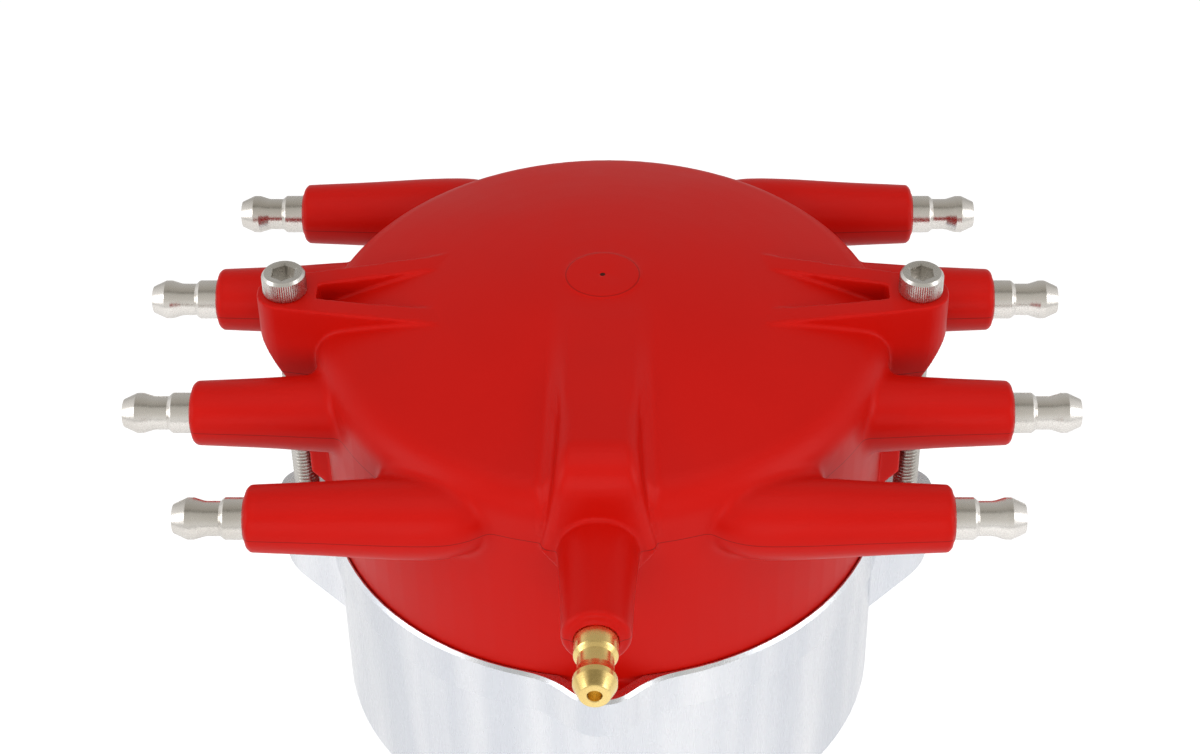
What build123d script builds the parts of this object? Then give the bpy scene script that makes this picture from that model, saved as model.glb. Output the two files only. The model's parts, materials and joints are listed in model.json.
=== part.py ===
from build123d import *
import os
from math import acos, atan2, cos, degrees, hypot, pi, radians, sin, sqrt, tan

# An ignition distributor for an eight-cylinder engine, in millimetres.
# The origin is the middle of the seat, under the gasket of the mounting flange.
# +Z runs up the shaft to the cap, and -Y points at the coil terminal on the front.

# Heights above the seat
terminal_level = 94.0
rim_drop = 27.5
bowl_height = 42.5
rim_level = terminal_level - rim_drop
bowl_bottom = rim_level - bowl_height

# Clearances
running_gap = 0.04
loose_gap = 0.3
skirt_gap = 0.25
screw_gap = 0.2

# Distributor cap
dome_rise = 16.0
dome_radius = 138.0
dome_edge_round = 6.0
cap_radius = 45.9
cap_draft = 1.25
cap_wall = 4.0
cap_inner_round = 2.0
ring_ceiling_drop = 5.5
recess_radius = 25.0
recess_rise = 7.0
gate_disc_radius = 5.8
gate_disc_height = 0.15
gate_dimple_radius = 0.5
gate_dimple_depth = 0.8

# Side towers for the plug wires, in two rows each side of the middle
tower_end_radius = 5.08
tower_draft = 2.5
tower_end_round = 0.6
tower_blend = 2.0
nose_fullness = 0.55
inner_row_y = 14.8
inner_row_end = 64.0
inner_row_nose = 30.0
inner_row_taper = 37.0
outer_row_y = 39.5
outer_row_end = 52.5
outer_row_nose = 15.0
outer_row_taper = 26.0
flash_ring_width = 0.6
flash_ring_height = 0.4

# Front tower and the raised rib that carries the coil lead to the middle
coil_tower_end = 65.0
coil_tower_nose = 38.0
coil_tower_taper = 43.0
conduit_top_half = 5.65
conduit_base_half = 8.7
conduit_keel_half = 4.6
conduit_keel_drop = 5.5
conduit_start = 0.5
conduit_front = 46.6
conduit_front_round = 6.5
conduit_edge_round = 1.2

# Screw ears of the cap
screw_offset = 50.3
ear_radius = 4.55
ear_seat_rise = 12.8
ear_root = 23.0
ear_root_half = 9.75
ear_top_rise = 0.65
ear_depth = 7.6
ear_slant_run = 5.3
ear_slant_drop = 8.9
ear_pocket_half = 1.87
ear_pocket_root_half = 5.77
ear_pocket_end = 45.3
ear_pocket_corner = 0.7
skirt_rib_inner = 3.0
skirt_rib_thickness = 2.0
skirt_rib_reach = 48.5
skirt_rib_end = 24.0
skirt_rib_chamfer = 3.2
skirt_rib_foot = 0.4

# Turned terminals: distances from the tower's end, and radii
collar_length = 3.5
collar_radius = 3.2
neck_start = 3.9
neck_radius = 2.65
neck_end = 6.0
bulb_start = 7.8
bulb_radius = 3.175
bulb_end = 9.0
terminal_length = 11.0
terminal_tip_radius = 2.2
terminal_nose_round = 0.35
neck_hollow = 0.08
tip_crown = 0.12
collar_root = 1.5
shank_radius = 2.4
coil_tip_hole_radius = 1.05
coil_tip_hole_depth = 2.0

# Electrodes inside the cap, and the lead to the middle
electrode_circle = 37.4
electrode_radius = 2.0
electrode_drop = 18.0
electrode_spread = (22.5, 67.5)
shank_rest = 8.0
link_radius = 1.6
coil_lead_radius = 1.3
coil_lead_rise = 9.5
coil_riser_y = 44.0
button_socket_radius = 3.6
button_socket_drop = 4.0
button_boss_radius = 6.5
button_boss_draft = 0.6
button_radius = 2.5
button_round = 1.5
button_drop = 10.0
button_length = 10.0
button_bore_rise = 7.0
button_spring_radius = 1.8
button_spring_wire = 0.25
button_spring_turns = 6

# Cap screws
screw_radius = 2.08
screw_head_radius = 3.5
screw_head_height = 3.7
screw_hex = 3.57
screw_hex_depth = 2.0
screw_engagement = 14.0
screw_head_round = 0.4
screw_tip_chamfer = 0.5
slot_half = 0.4

# Housing: the bowl, the collar round its rim, the neck, the flange and the stem
collar_outer_radius = 46.3
rim_collar_height = 7.5
bowl_radius = 45.5
bowl_wall = 4.0
bowl_floor = 7.0
bowl_chamfer = 5.5
bowl_corner = 2.0
lip_depth = 3.0
lobe_reach = 50.9
lobe_nose = 7.1
lobe_flare = 16.0
lobe_wall = 1.9
tab_drop = 1.0
tab_rise = 0.2
housing_ear_radius = 4.5
housing_ear_drop = 22.0
housing_ear_slope = 7.0
housing_ear_root_half = 7.5
housing_ear_step = 0.5
housing_ear_heel = 2.0
neck_radius_top = 20.0
neck_blend = 5.0
flange_blend = 1.5
flange_radius = 28.5
flange_thickness = 8.0
flange_edge = 0.8
stem_radius = 16.1
stem_length = 150.0
stem_bore = 9.0
stem_chamfer = 1.5
pilot_relief = 0.3
oil_band_radius = 14.5
oil_band_length = 9.0
oil_band_level = -112.0
oil_band_slope = 1.0
seal_groove_depth = 2.1
seal_groove_width = 3.4
seal_groove_level = -22.0
gasket_thickness = 0.8
gasket_outer = 25.0

# Shaft and its bearings
shaft_radius = 6.35
journal_radius = 5.0
spigot_radius = 4.0
shaft_slot_width = 4.8
shaft_slot_depth = 6.0
shaft_tail = 9.0
shaft_edge = 0.8
bearing_outer_radius = 14.2875
bearing_width = 7.94
bearing_boss_radius = 18.0
bearing_boss_rise = 1.0
bearing_boss_draft = 1.0
bearing_undercut = 0.6
bearing_lift = 1.6
race_thickness = 2.3
ball_radius = 1.98
ball_count = 9
inner_race_relief = 2.6
bushing_length = 22.0
washer_thickness = 0.8
washer_radius = 12.0
washer_count = 2
washer_play = 0.16

# Drive gear
gear_radius = 16.0
gear_root_radius = 11.7
gear_length = 30.0
gear_hub_radius = 11.0
gear_hub_length = 6.0
gear_teeth = 13
gear_helix_angle = 45.0
gear_tooth_share = 0.34
gear_tooth_chamfer = 2.0
roll_pin_radius = 2.4
roll_pin_wall = 1.08
roll_pin_slit = 0.5
ring_outer_radius = 7.95
ring_half = 0.6
ring_gap = 2.4
ring_play = 0.2

# Advance mechanism
plate_level = 50.0
plate_thickness = 2.0
plate_radius = 28.0
plate_window_inner = 12.0
plate_window_outer = 24.5
plate_window_span = 44.0
plate_window_round = 2.5
sleeve_radius = 7.5
sleeve_bottom = 36.6
weight_pin_circle = 22.0
weight_pin_radius = 2.5
weight_thickness = 4.0
weight_inner = 15.0
weight_outer = 27.0
weight_span_start = -50.0
weight_span_end = 86.0
weight_boss_radius = 5.5
weight_end_round = 2.5
clip_thickness = 0.6
clip_radius = 4.3
clip_groove_depth = 0.6
pin_land = 0.2
pin_step_radius = 2.0
pin_tip_radius = 1.5
pin_tip_height = 1.9
pin_head_height = 0.6
cam_radius = 14.0
cam_waist = 9.0
cam_corner = 2.0
cam_post_circle = 11.6
cam_post_angle = 152.0
spring_wire = 0.35
spring_coil_radius = 1.6
spring_clearance = 0.5
spring_turns = 9
spring_straight = 1.0
spring_eye_play = 0.05

# Reluctor and pickup
reluctor_bottom = 40.0
reluctor_height = 6.0
reluctor_hub_radius = 10.0
reluctor_web_height = 2.0
reluctor_tip_radius = 19.0
tooth_count = 8
tooth_width = 3.2
tooth_tip_length = 4.0
pole_gap = 0.4
pole_width = 5.0
pole_height = 5.0
pole_length = 8.0
pole_stand = 2.6
pickup_width = 18.0
pickup_depth = 13.0
pickup_height = 10.0
pickup_corner = 2.0
bracket_thickness = 1.5
bracket_half = 15.6
bracket_front = 21.5
bracket_back = 37.0
bracket_arm = 7.0
bracket_corner = 1.5
pillar_radius = 3.5
pillar_x = 12.2
pillar_y = 34.0
small_screw_radius = 1.5
small_head_radius = 2.8
small_head_height = 1.8
small_screw_grip = 5.0

# Wiring connector at the back
connector_half = 9.0
connector_height = 12.0
connector_level = 45.5
connector_stand = 13.5
connector_socket_depth = 8.0
connector_wall = 2.2
connector_corner = 1.5
socket_corner = 0.8
latch_half = 2.5
latch_start = 7.0
latch_end = 4.5
latch_rise = 1.6
grommet_half = 7.0
grommet_height = 9.0
grommet_corner = 2.0
grommet_reach = 3.0
grommet_stand = 1.0
contact_spacing = 8.0
contact_radius = 0.8
contact_length = 6.0
contact_root = 3.0
contact_chamfer = 0.3
lead_radius = 0.8

# Rotor; its arm is turned from +Y to face a plug electrode
rotor_turn = -22.5
rotor_disc_level = 63.0
rotor_disc_thickness = 3.0
rotor_radius = 33.0
rotor_leg_circle = 31.0
rotor_leg_turn = 9.0
rotor_leg_radius = 2.9
rotor_leg_foot = 4.2
rotor_hub_radius = 11.0
rotor_hub_top_radius = 8.0
rotor_hub_wall = 2.5
rotor_hub_roof = 6.0
rotor_top = 80.0
rotor_arm_half = 5.5
rotor_arm_reach = 31.5
rotor_rib_half = 1.5
rotor_rib_drop = 4.0
rotor_edge = 3.0
rotor_arm_lean = 2.0
segment_half = 4.5
segment_reach = 34.6
segment_thickness = 1.4
segment_drop = 5.0
segment_tip = 2.5
leaf_half = 2.5
leaf_thickness = 0.4
leaf_reach = 9.0
leaf_gap = 0.35
leaf_crown_half = 2.5
leaf_foot = 4.0
leaf_bend = 0.2
rotor_screw_radius = 1.6
rotor_screw_head = 3.0
rotor_screw_head_height = 2.0

# Places worked out from the values above
seat_level = terminal_level + ear_seat_rise
shoulder_level = rim_level - lip_depth
floor_level = bowl_bottom + bowl_floor
lip_inner_radius = cap_radius - rim_drop * tan(radians(cap_draft)) + skirt_gap
ring_ceiling = terminal_level - ring_ceiling_drop
recess_ceiling = terminal_level + recess_rise
bearing_bottom = bowl_bottom + bearing_lift
bearing_top = bearing_bottom + bearing_width
stem_bottom = -stem_length
gear_top = stem_bottom - washer_count * washer_thickness
gear_bottom = gear_top - gear_hub_length - gear_length
shaft_bottom = gear_bottom - shaft_tail
plate_top = plate_level + plate_thickness
weight_level = plate_top + loose_gap
weight_top = weight_level + weight_thickness
clip_level = weight_top + loose_gap
clip_top = clip_level + clip_thickness
cam_top = plate_top + loose_gap + weight_thickness
spring_level = clip_top + spring_clearance + spring_coil_radius
pin_shoulder = spring_level - 0.1
pin_top = pin_shoulder + pin_tip_height
button_bottom = terminal_level - button_drop
socket_mouth = terminal_level - button_socket_drop
pickup_level = reluctor_bottom + reluctor_height / 2 - pickup_height / 2
bracket_level = pickup_level - bracket_thickness
connector_reach = bowl_radius + connector_stand
plug_rows = [
    (inner_row_y, inner_row_end, inner_row_nose, inner_row_taper),
    (outer_row_y, outer_row_end, outer_row_nose, outer_row_taper),
]


def turned(*points):
    """A piece turned about Z, from half of its outline as (radius, height) pairs."""
    with BuildSketch(Plane.XZ) as outline:
        with BuildLine():
            Polyline(*points, close=True)
        make_face()
    return revolve(outline.sketch, Axis.Z, 360)


def rod(radius, low, high, x=0.0, y=0.0):
    """An upright cylinder between two heights."""
    grow = (Align.CENTER, Align.CENTER, Align.MIN)
    return Pos(x, y, low) * Cylinder(radius, high - low, align=grow)


def tube(outer, inner, low, high):
    """A plain ring about Z between two heights."""
    return rod(outer, low, high) - rod(inner, low - 1, high + 1)


def block(x_range, y_range, z_range):
    """A box from its three ranges."""
    grow = (Align.MIN, Align.MIN, Align.MIN)
    size = [high - low for low, high in (x_range, y_range, z_range)]
    return Pos(x_range[0], y_range[0], z_range[0]) * Box(*size, align=grow)


def slab(outline, low, high):
    """A flat piece of a given plan between two heights."""
    return Pos(0, 0, low) * extrude(outline, high - low, dir=(0, 0, 1))


def polygon(*points):
    """A flat face through the given corners."""
    return Polygon(*points, align=None)


def blended(body, piece, radius):
    """Two moulded forms joined with a soft inner radius along their seam."""
    joined = body + piece
    return fillet(new_edges(body, piece, combined=joined), radius)


def tapering_rib(root, root_half, tip, tip_radius):
    """A plan outline that narrows along +X to a round end at the tip's centre."""
    run = hypot(tip - root, root_half)
    lean = atan2(root_half, tip - root)
    turn = pi - lean - acos(tip_radius / run)
    touch = (tip + tip_radius * cos(turn), tip_radius * sin(turn))
    with BuildSketch() as plan:
        with BuildLine():
            Line((root, root_half), touch)
            ThreePointArc(touch, (tip + tip_radius, 0), (touch[0], -touch[1]))
            Line((touch[0], -touch[1]), (root, -root_half))
            Line((root, -root_half), (root, root_half))
        make_face()
    return plan.sketch


# Distributor cap


def dome_level(radius):
    """Height of the domed top at a radius."""
    sag = dome_radius - sqrt(dome_radius**2 - radius**2)
    return terminal_level + dome_rise - sag


def cap_dome():
    """The plain turned form of the cap: domed top, rounded edge, tapered skirt."""
    draft = tan(radians(cap_draft))
    corner = (cap_radius, dome_level(cap_radius))
    middle = cap_radius / 2
    skirt_end = cap_radius - draft * (terminal_level - shoulder_level)
    with BuildSketch(Plane.XZ) as outline:
        with BuildLine():
            ThreePointArc((0, terminal_level + dome_rise), (middle, dome_level(middle)), corner)
            Line(corner, (skirt_end, shoulder_level))
            Line((skirt_end, shoulder_level), (0, shoulder_level))
            Line((0, shoulder_level), (0, terminal_level + dome_rise))
        make_face()
    body = revolve(outline.sketch, Axis.Z, 360)
    rims = body.edges().filter_by(GeomType.CIRCLE)
    edge = [rim for rim in rims if abs(rim.center().Z - corner[1]) < 0.01]
    return fillet(edge, dome_edge_round)


def tower(end, nose, taper):
    """A drafted tower along +X with a bullet nose at its inner end."""
    lean = tan(radians(tower_draft))
    root = tower_end_radius + (end - taper) * lean
    reach = (taper - nose) * nose_fullness
    bullet = [(taper, root), (taper - reach, root + reach * lean), (nose, root * nose_fullness), (nose, 0)]
    side = [(end - tower_end_round, tower_end_radius), ((end + taper) / 2, (tower_end_radius + root) / 2)]
    for share in (0, 0.2, 0.4, 0.6, 0.8, 1):
        weights = [(1 - share) ** 3, 3 * share * (1 - share) ** 2, 3 * share**2 * (1 - share), share**3]
        side.append(tuple(sum(w * point[n] for w, point in zip(weights, bullet)) for n in (0, 1)))
    with BuildSketch(Plane.XZ) as outline:
        with BuildLine():
            Polyline((nose, 0), (end, 0), (end, tower_end_radius - tower_end_round), side[0])
            Spline(*side, tangents=[(-1, lean), (0, -1)])
        make_face()
    return revolve(outline.sketch, Axis.X, 360)


def ear_pocket():
    """Plan of the hollow between the two ribs of an ear, open towards the dome."""
    lean = (ear_pocket_root_half - ear_pocket_half) / (ear_pocket_end - ear_root)
    start = ear_root - 1
    half = ear_pocket_root_half + lean
    plan = polygon(
        (start, half), (start, -half),
        (ear_pocket_end, -ear_pocket_half), (ear_pocket_end, ear_pocket_half),
    )
    return fillet([corner for corner in plan.vertices() if corner.X > ear_root], ear_pocket_corner)


def cap_ear():
    """The screw ear on +X: two ribs that meet in a boss, over a slanting underside."""
    plan = tapering_rib(ear_root, ear_root_half, screw_offset, ear_radius) - ear_pocket()
    outer = screw_offset + ear_radius
    boss_bottom = seat_level - ear_depth
    slant_end = boss_bottom - ear_slant_drop
    inside = cap_radius - cap_wall / 2
    low = boss_bottom + (outer - inside) / ear_slant_run * (slant_end - boss_bottom)
    top = seat_level + ear_top_rise
    with BuildSketch(Plane.XZ) as side:
        Polygon(
            (ear_root, top),
            (screw_offset - ear_radius, seat_level),
            (outer + 1, seat_level),
            (outer + 1, boss_bottom),
            (outer, boss_bottom),
            (inside, low),
            (inside, ring_ceiling),
            (ear_root, ring_ceiling),
            align=None,
        )
    profile = extrude(side.sketch, ear_root_half + 1, both=True)
    return slab(plan, low - 1, top + 1) & profile


def skirt_rib():
    """One of the upright ribs beside a screw, under the ear."""
    low = terminal_level - skirt_rib_end
    inside = cap_radius - cap_wall / 2
    with BuildSketch(Plane.XZ) as side:
        Polygon(
            (inside, seat_level - ear_depth),
            (skirt_rib_reach, seat_level - ear_depth),
            (skirt_rib_reach, low + skirt_rib_chamfer),
            (cap_radius - skirt_rib_foot, low),
            (inside, low),
            align=None,
        )
    blade = extrude(side.sketch, skirt_rib_thickness, dir=(0, 1, 0))
    return Pos(0, skirt_rib_inner, 0) * blade


def conduit():
    """The raised rib that carries the coil lead from the front tower to the middle."""
    top = terminal_level + dome_rise
    with BuildSketch(Plane.XZ) as section:
        Polygon(
            (conduit_top_half, top),
            (conduit_base_half, terminal_level),
            (conduit_keel_half, terminal_level - conduit_keel_drop),
            (-conduit_keel_half, terminal_level - conduit_keel_drop),
            (-conduit_base_half, terminal_level),
            (-conduit_top_half, top),
            align=None,
        )
    length = conduit_front - conduit_start
    rib = Pos(0, -conduit_start, 0) * extrude(section.sketch, length, dir=(0, -1, 0))
    upper = [edge for edge in rib.edges() if edge.center().Z > top - 0.01]
    front = [edge for edge in upper if edge.center().Y < 1 - conduit_front]
    rib = fillet(front, conduit_front_round)
    sides = [
        edge
        for edge in rib.edges().filter_by(Axis.Y)
        if edge.center().Z > top - 0.01 and abs(edge.center().X) > conduit_top_half - 0.01
    ]
    return fillet(sides, conduit_edge_round)


def cap_outside():
    """The whole outside: the dome with its towers blended in, the conduit and the ears."""
    body = cap_dome()
    front = tower(coil_tower_end, coil_tower_nose, coil_tower_taper)
    body = blended(body, Pos(0, 0, terminal_level) * Rot(0, 0, -90) * front, tower_blend)
    for side in (0, 180):
        for y, end, nose, taper in plug_rows:
            for row in (-y, y):
                side_tower = Rot(0, 0, side) * Pos(0, row, terminal_level) * tower(end, nose, taper)
                body = blended(body, side_tower, tower_blend)
    for side in (0, 180):
        body = body + Rot(0, 0, side) * cap_ear()
        body = body + Rot(0, 0, side) * skirt_rib()
        body = body + Rot(0, 0, side) * mirror(skirt_rib(), Plane.XZ)
    disc_top = terminal_level + dome_rise + gate_disc_height
    body = body + conduit() + rod(gate_disc_radius, ring_ceiling, disc_top)
    mouth = disc_top + 0.1
    dimple = turned((0, mouth), (gate_dimple_radius, mouth), (0, disc_top - gate_dimple_depth))
    return body - dimple


def cap_hollow():
    """The space inside the cap, as a solid to cut away."""
    inner = cap_radius - cap_wall
    draft = tan(radians(cap_draft)) * (ring_ceiling - shoulder_level)
    corner = cap_inner_round
    space = turned(
        (0, shoulder_level - 1),
        (inner - draft, shoulder_level - 1),
        (inner - draft / 2, ring_ceiling - corner),
        (inner - draft / 2 - corner, ring_ceiling),
        (recess_radius, ring_ceiling),
        (recess_radius - corner, recess_ceiling),
        (button_boss_radius + button_boss_draft, recess_ceiling),
        (button_boss_radius, socket_mouth),
        (0, socket_mouth),
    )
    return space


def distributor_cap(terminals, coil_parts):
    """The moulded cap, with room for the metal that is moulded into it."""
    cap = cap_outside() - cap_hollow()
    tab = slab(lobe_outline(lobe_wall + loose_gap), shoulder_level + tab_rise, rim_level - tab_drop)
    cap = cap + (tab - rod(cap_radius - cap_wall / 2, 0, terminal_level))
    for end, turn in tower_places():
        ring = turned(
            (0, 0),
            (collar_radius + flash_ring_width, 0),
            (collar_radius + flash_ring_width / 2, flash_ring_height),
            (0, flash_ring_height),
        )
        cap = cap + place_terminal(ring, end, turn)
    bore = (button_radius + button_socket_radius) / 2
    cap = cap - rod(bore, socket_mouth - 1, terminal_level + button_bore_rise)
    for piece in terminals + coil_parts:
        cap = cap - piece
    for side in (-1, 1):
        cap = cap - rod(screw_radius + screw_gap, 0, seat_level + 1, side * screw_offset)
    return cap


# Terminals


def tower_places():
    """Each side tower's end, as (x, y), and the way it points, in degrees."""
    places = []
    for side, turn in ((1, 0), (-1, 180)):
        for front, row, end in (
            (-1, outer_row_y, outer_row_end),
            (-1, inner_row_y, inner_row_end),
            (1, inner_row_y, inner_row_end),
            (1, outer_row_y, outer_row_end),
        ):
            places.append(((side * end, front * row), turn))
    places.append(((0, -coil_tower_end), -90))
    return places


def place_terminal(piece, end, turn):
    """Lays a piece made along +Z at a tower's end, pointing outwards."""
    return Pos(end[0], end[1], terminal_level) * Rot(0, 0, turn) * Rot(0, 90, 0) * piece


def terminal_form():
    """The turned end that a plug wire is pushed over, along +Z from the tower's face."""
    with BuildSketch(Plane.XZ) as outline:
        with BuildLine():
            Line((0, -collar_root), (collar_radius, -collar_root))
            Line((collar_radius, -collar_root), (collar_radius, collar_length))
            Line((collar_radius, collar_length), (neck_radius, neck_start))
            Line((neck_radius, neck_start), (neck_radius, neck_end))
            ThreePointArc(
                (neck_radius, neck_end),
                ((neck_radius + bulb_radius) / 2 - neck_hollow, (neck_end + bulb_start) / 2),
                (bulb_radius, bulb_start),
            )
            Line((bulb_radius, bulb_start), (bulb_radius, bulb_end))
            ThreePointArc(
                (bulb_radius, bulb_end),
                ((bulb_radius + terminal_tip_radius) / 2 + tip_crown, (bulb_end + terminal_length) / 2),
                (terminal_tip_radius, terminal_length - terminal_nose_round),
            )
            Line(
                (terminal_tip_radius, terminal_length - terminal_nose_round),
                (terminal_tip_radius - terminal_nose_round, terminal_length),
            )
            Line((terminal_tip_radius - terminal_nose_round, terminal_length), (0, terminal_length))
            Line((0, terminal_length), (0, -collar_root))
        make_face()
    return revolve(outline.sketch, Axis.Z, 360)


def electrode_place(end):
    """Where the electrode of a side tower stands inside the cap."""
    spread = electrode_spread[0] if abs(end[1]) < outer_row_y - 1 else electrode_spread[1]
    x = electrode_circle * cos(radians(spread))
    y = electrode_circle * sin(radians(spread))
    return (x if end[0] > 0 else -x, y if end[1] > 0 else -y)


def plug_terminal(end, turn):
    """One side terminal: the turned end, its shank and the electrode inside."""
    post = electrode_place(end)
    shank_end = max(abs(post[0]), outer_row_nose + shank_rest)
    shank_length = abs(end[0]) - shank_end
    piece = place_terminal(terminal_form(), end, turn)
    piece += place_terminal(rod(shank_radius, -shank_length, 0), end, turn)
    reach = hypot(shank_end - abs(post[0]), abs(end[1]) - abs(post[1]))
    if reach > link_radius:
        away = atan2(end[1] - post[1], (shank_end - abs(post[0])) * (1 if end[0] > 0 else -1))
        link = Rot(0, 0, degrees(away)) * Rot(0, 90, 0) * rod(link_radius, 0, reach)
        piece += Pos(post[0], post[1], terminal_level) * link
        piece += Pos(post[0], post[1], terminal_level) * Sphere(electrode_radius)
    low = terminal_level - electrode_drop
    return piece + rod(electrode_radius, low, terminal_level, post[0], post[1])


def coil_terminal():
    """The brass terminal on the front, with a hole in its tip."""
    hole = rod(coil_tip_hole_radius, terminal_length - coil_tip_hole_depth, terminal_length + 1)
    shank = rod(shank_radius, coil_riser_y - coil_tower_end, 0)
    return place_terminal(terminal_form() + shank - hole, (0, -coil_tower_end), -90)


def coil_lead(front_terminal):
    """The rod from the front terminal to the middle, with the button's socket."""
    level = terminal_level + coil_lead_rise
    riser = rod(coil_lead_radius, terminal_level, level, 0, -coil_riser_y)
    run = Pos(0, 0, level) * Rot(90, 0, 0) * rod(coil_lead_radius, 0, coil_riser_y)
    corner = Pos(0, -coil_riser_y, level) * Sphere(coil_lead_radius)
    socket = rod(button_socket_radius, socket_mouth, level - coil_lead_radius / 2)
    bore = rod(button_radius + running_gap, socket_mouth - 1, terminal_level + button_bore_rise)
    return riser + run + corner + socket - bore - front_terminal


def carbon_button():
    """The carbon contact that rides on the rotor."""
    stick = rod(button_radius, button_bottom, button_bottom + button_length)
    edge = stick.edges().sort_by(Axis.Z)[0]
    return fillet([edge], button_round)


def coil_spring(radius, wire, turns, length, low):
    """An upright wound wire with flat ends."""
    pitch = (length - 2 * wire) / turns
    path = Helix(pitch, pitch * turns, radius)
    section = Plane(origin=path @ 0, z_dir=path % 0) * Circle(wire)
    return Pos(0, 0, low + wire) * sweep(section, path)


def button_spring():
    """The spring over the carbon button."""
    low = button_bottom + button_length
    length = terminal_level + button_bore_rise - low
    return coil_spring(button_spring_radius, button_spring_wire, button_spring_turns, length, low)


# Screws


def hex_cut(across, depth, top):
    """A six-sided recess down from a level."""
    corner = across / sqrt(3)
    return Pos(0, 0, top - depth) * extrude(RegularPolygon(corner, 6), depth + 1)


def cap_screws():
    """Two long socket screws, from the cap's ears down into the housing's ears."""
    top = seat_level + screw_head_height
    low = rim_level - screw_engagement
    screw = rod(screw_radius, low, seat_level) + rod(screw_head_radius, seat_level, top)
    rim = [edge for edge in screw.edges() if edge.center().Z > top - 0.01]
    screw = fillet(rim, screw_head_round) - hex_cut(screw_hex, screw_hex_depth, top)
    tip = [edge for edge in screw.edges() if edge.center().Z < low + 0.01]
    screw = chamfer(tip, screw_tip_chamfer)
    return [Pos(side * screw_offset, 0, 0) * screw for side in (-1, 1)]


def pan_screw(radius, head_radius, head_height, seat, low):
    """A small screw with a domed head and a slot."""
    screw = rod(radius, low, seat) + rod(head_radius, seat, seat + head_height)
    rim = [edge for edge in screw.edges() if edge.center().Z > seat + head_height - 0.01]
    screw = fillet(rim, head_height / 2)
    top = seat + head_height
    depth = (top - head_height / 2, top + 1)
    return screw - block((-slot_half, slot_half), (-head_radius, head_radius), depth)


# Housing


def toward(start, end, distance):
    """The point at a distance from one point, on the way to another."""
    away = hypot(end[0] - start[0], end[1] - start[1])
    return tuple(start[n] + (end[n] - start[n]) * distance / away for n in (0, 1))


def lobe_outline(inset):
    """Plan of the front lobe, which flares into the round rim, pulled in by an inset."""
    nose = (0, lobe_nose - lobe_reach)
    rim_to_flare = collar_outer_radius + lobe_flare
    nose_to_flare = lobe_nose + lobe_flare
    flare_y = (rim_to_flare**2 - nose_to_flare**2 + nose[1] ** 2) / (2 * nose[1])
    flare = (sqrt(rim_to_flare**2 - flare_y**2), flare_y)
    radius = lobe_flare + inset
    root = toward(flare, (0, 0), radius)
    shoulder = toward(flare, nose, radius)
    middle = toward(flare, ((root[0] + shoulder[0]) / 2, (root[1] + shoulder[1]) / 2), radius)
    left = [(-x, y) for x, y in (root, middle, shoulder)]
    with BuildSketch() as plan:
        with BuildLine():
            ThreePointArc(root, middle, shoulder)
            ThreePointArc(shoulder, (0, inset - lobe_reach), left[2])
            ThreePointArc(*reversed(left))
            Polyline(left[0], (left[0][0], root[1] / 2), (root[0], root[1] / 2), root)
        make_face()
    return plan.sketch


def collar():
    """The thicker band round the rim, with the lobe for the cap's tab."""
    low = rim_level - rim_collar_height
    plan = Circle(collar_outer_radius) + lobe_outline(0)
    return slab(plan, low, rim_level)


def housing_ear():
    """The boss on +X that the cap's screw goes down into."""
    plan = tapering_rib(bowl_radius - bowl_wall, housing_ear_root_half, screw_offset, housing_ear_radius)
    outer = screw_offset + housing_ear_radius
    low = rim_level - housing_ear_drop
    with BuildSketch(Plane.XZ) as side:
        Polygon(
            (bowl_radius - bowl_wall / 2, rim_level - housing_ear_step),
            (outer + 1, rim_level - housing_ear_step),
            (outer + 1, low + housing_ear_slope),
            (outer, low + housing_ear_slope),
            (bowl_radius - bowl_wall / 2, low - housing_ear_heel),
            align=None,
        )
    profile = extrude(side.sketch, housing_ear_root_half + 1, both=True)
    return slab(plan, low - housing_ear_heel - 1, rim_level) & profile


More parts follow.
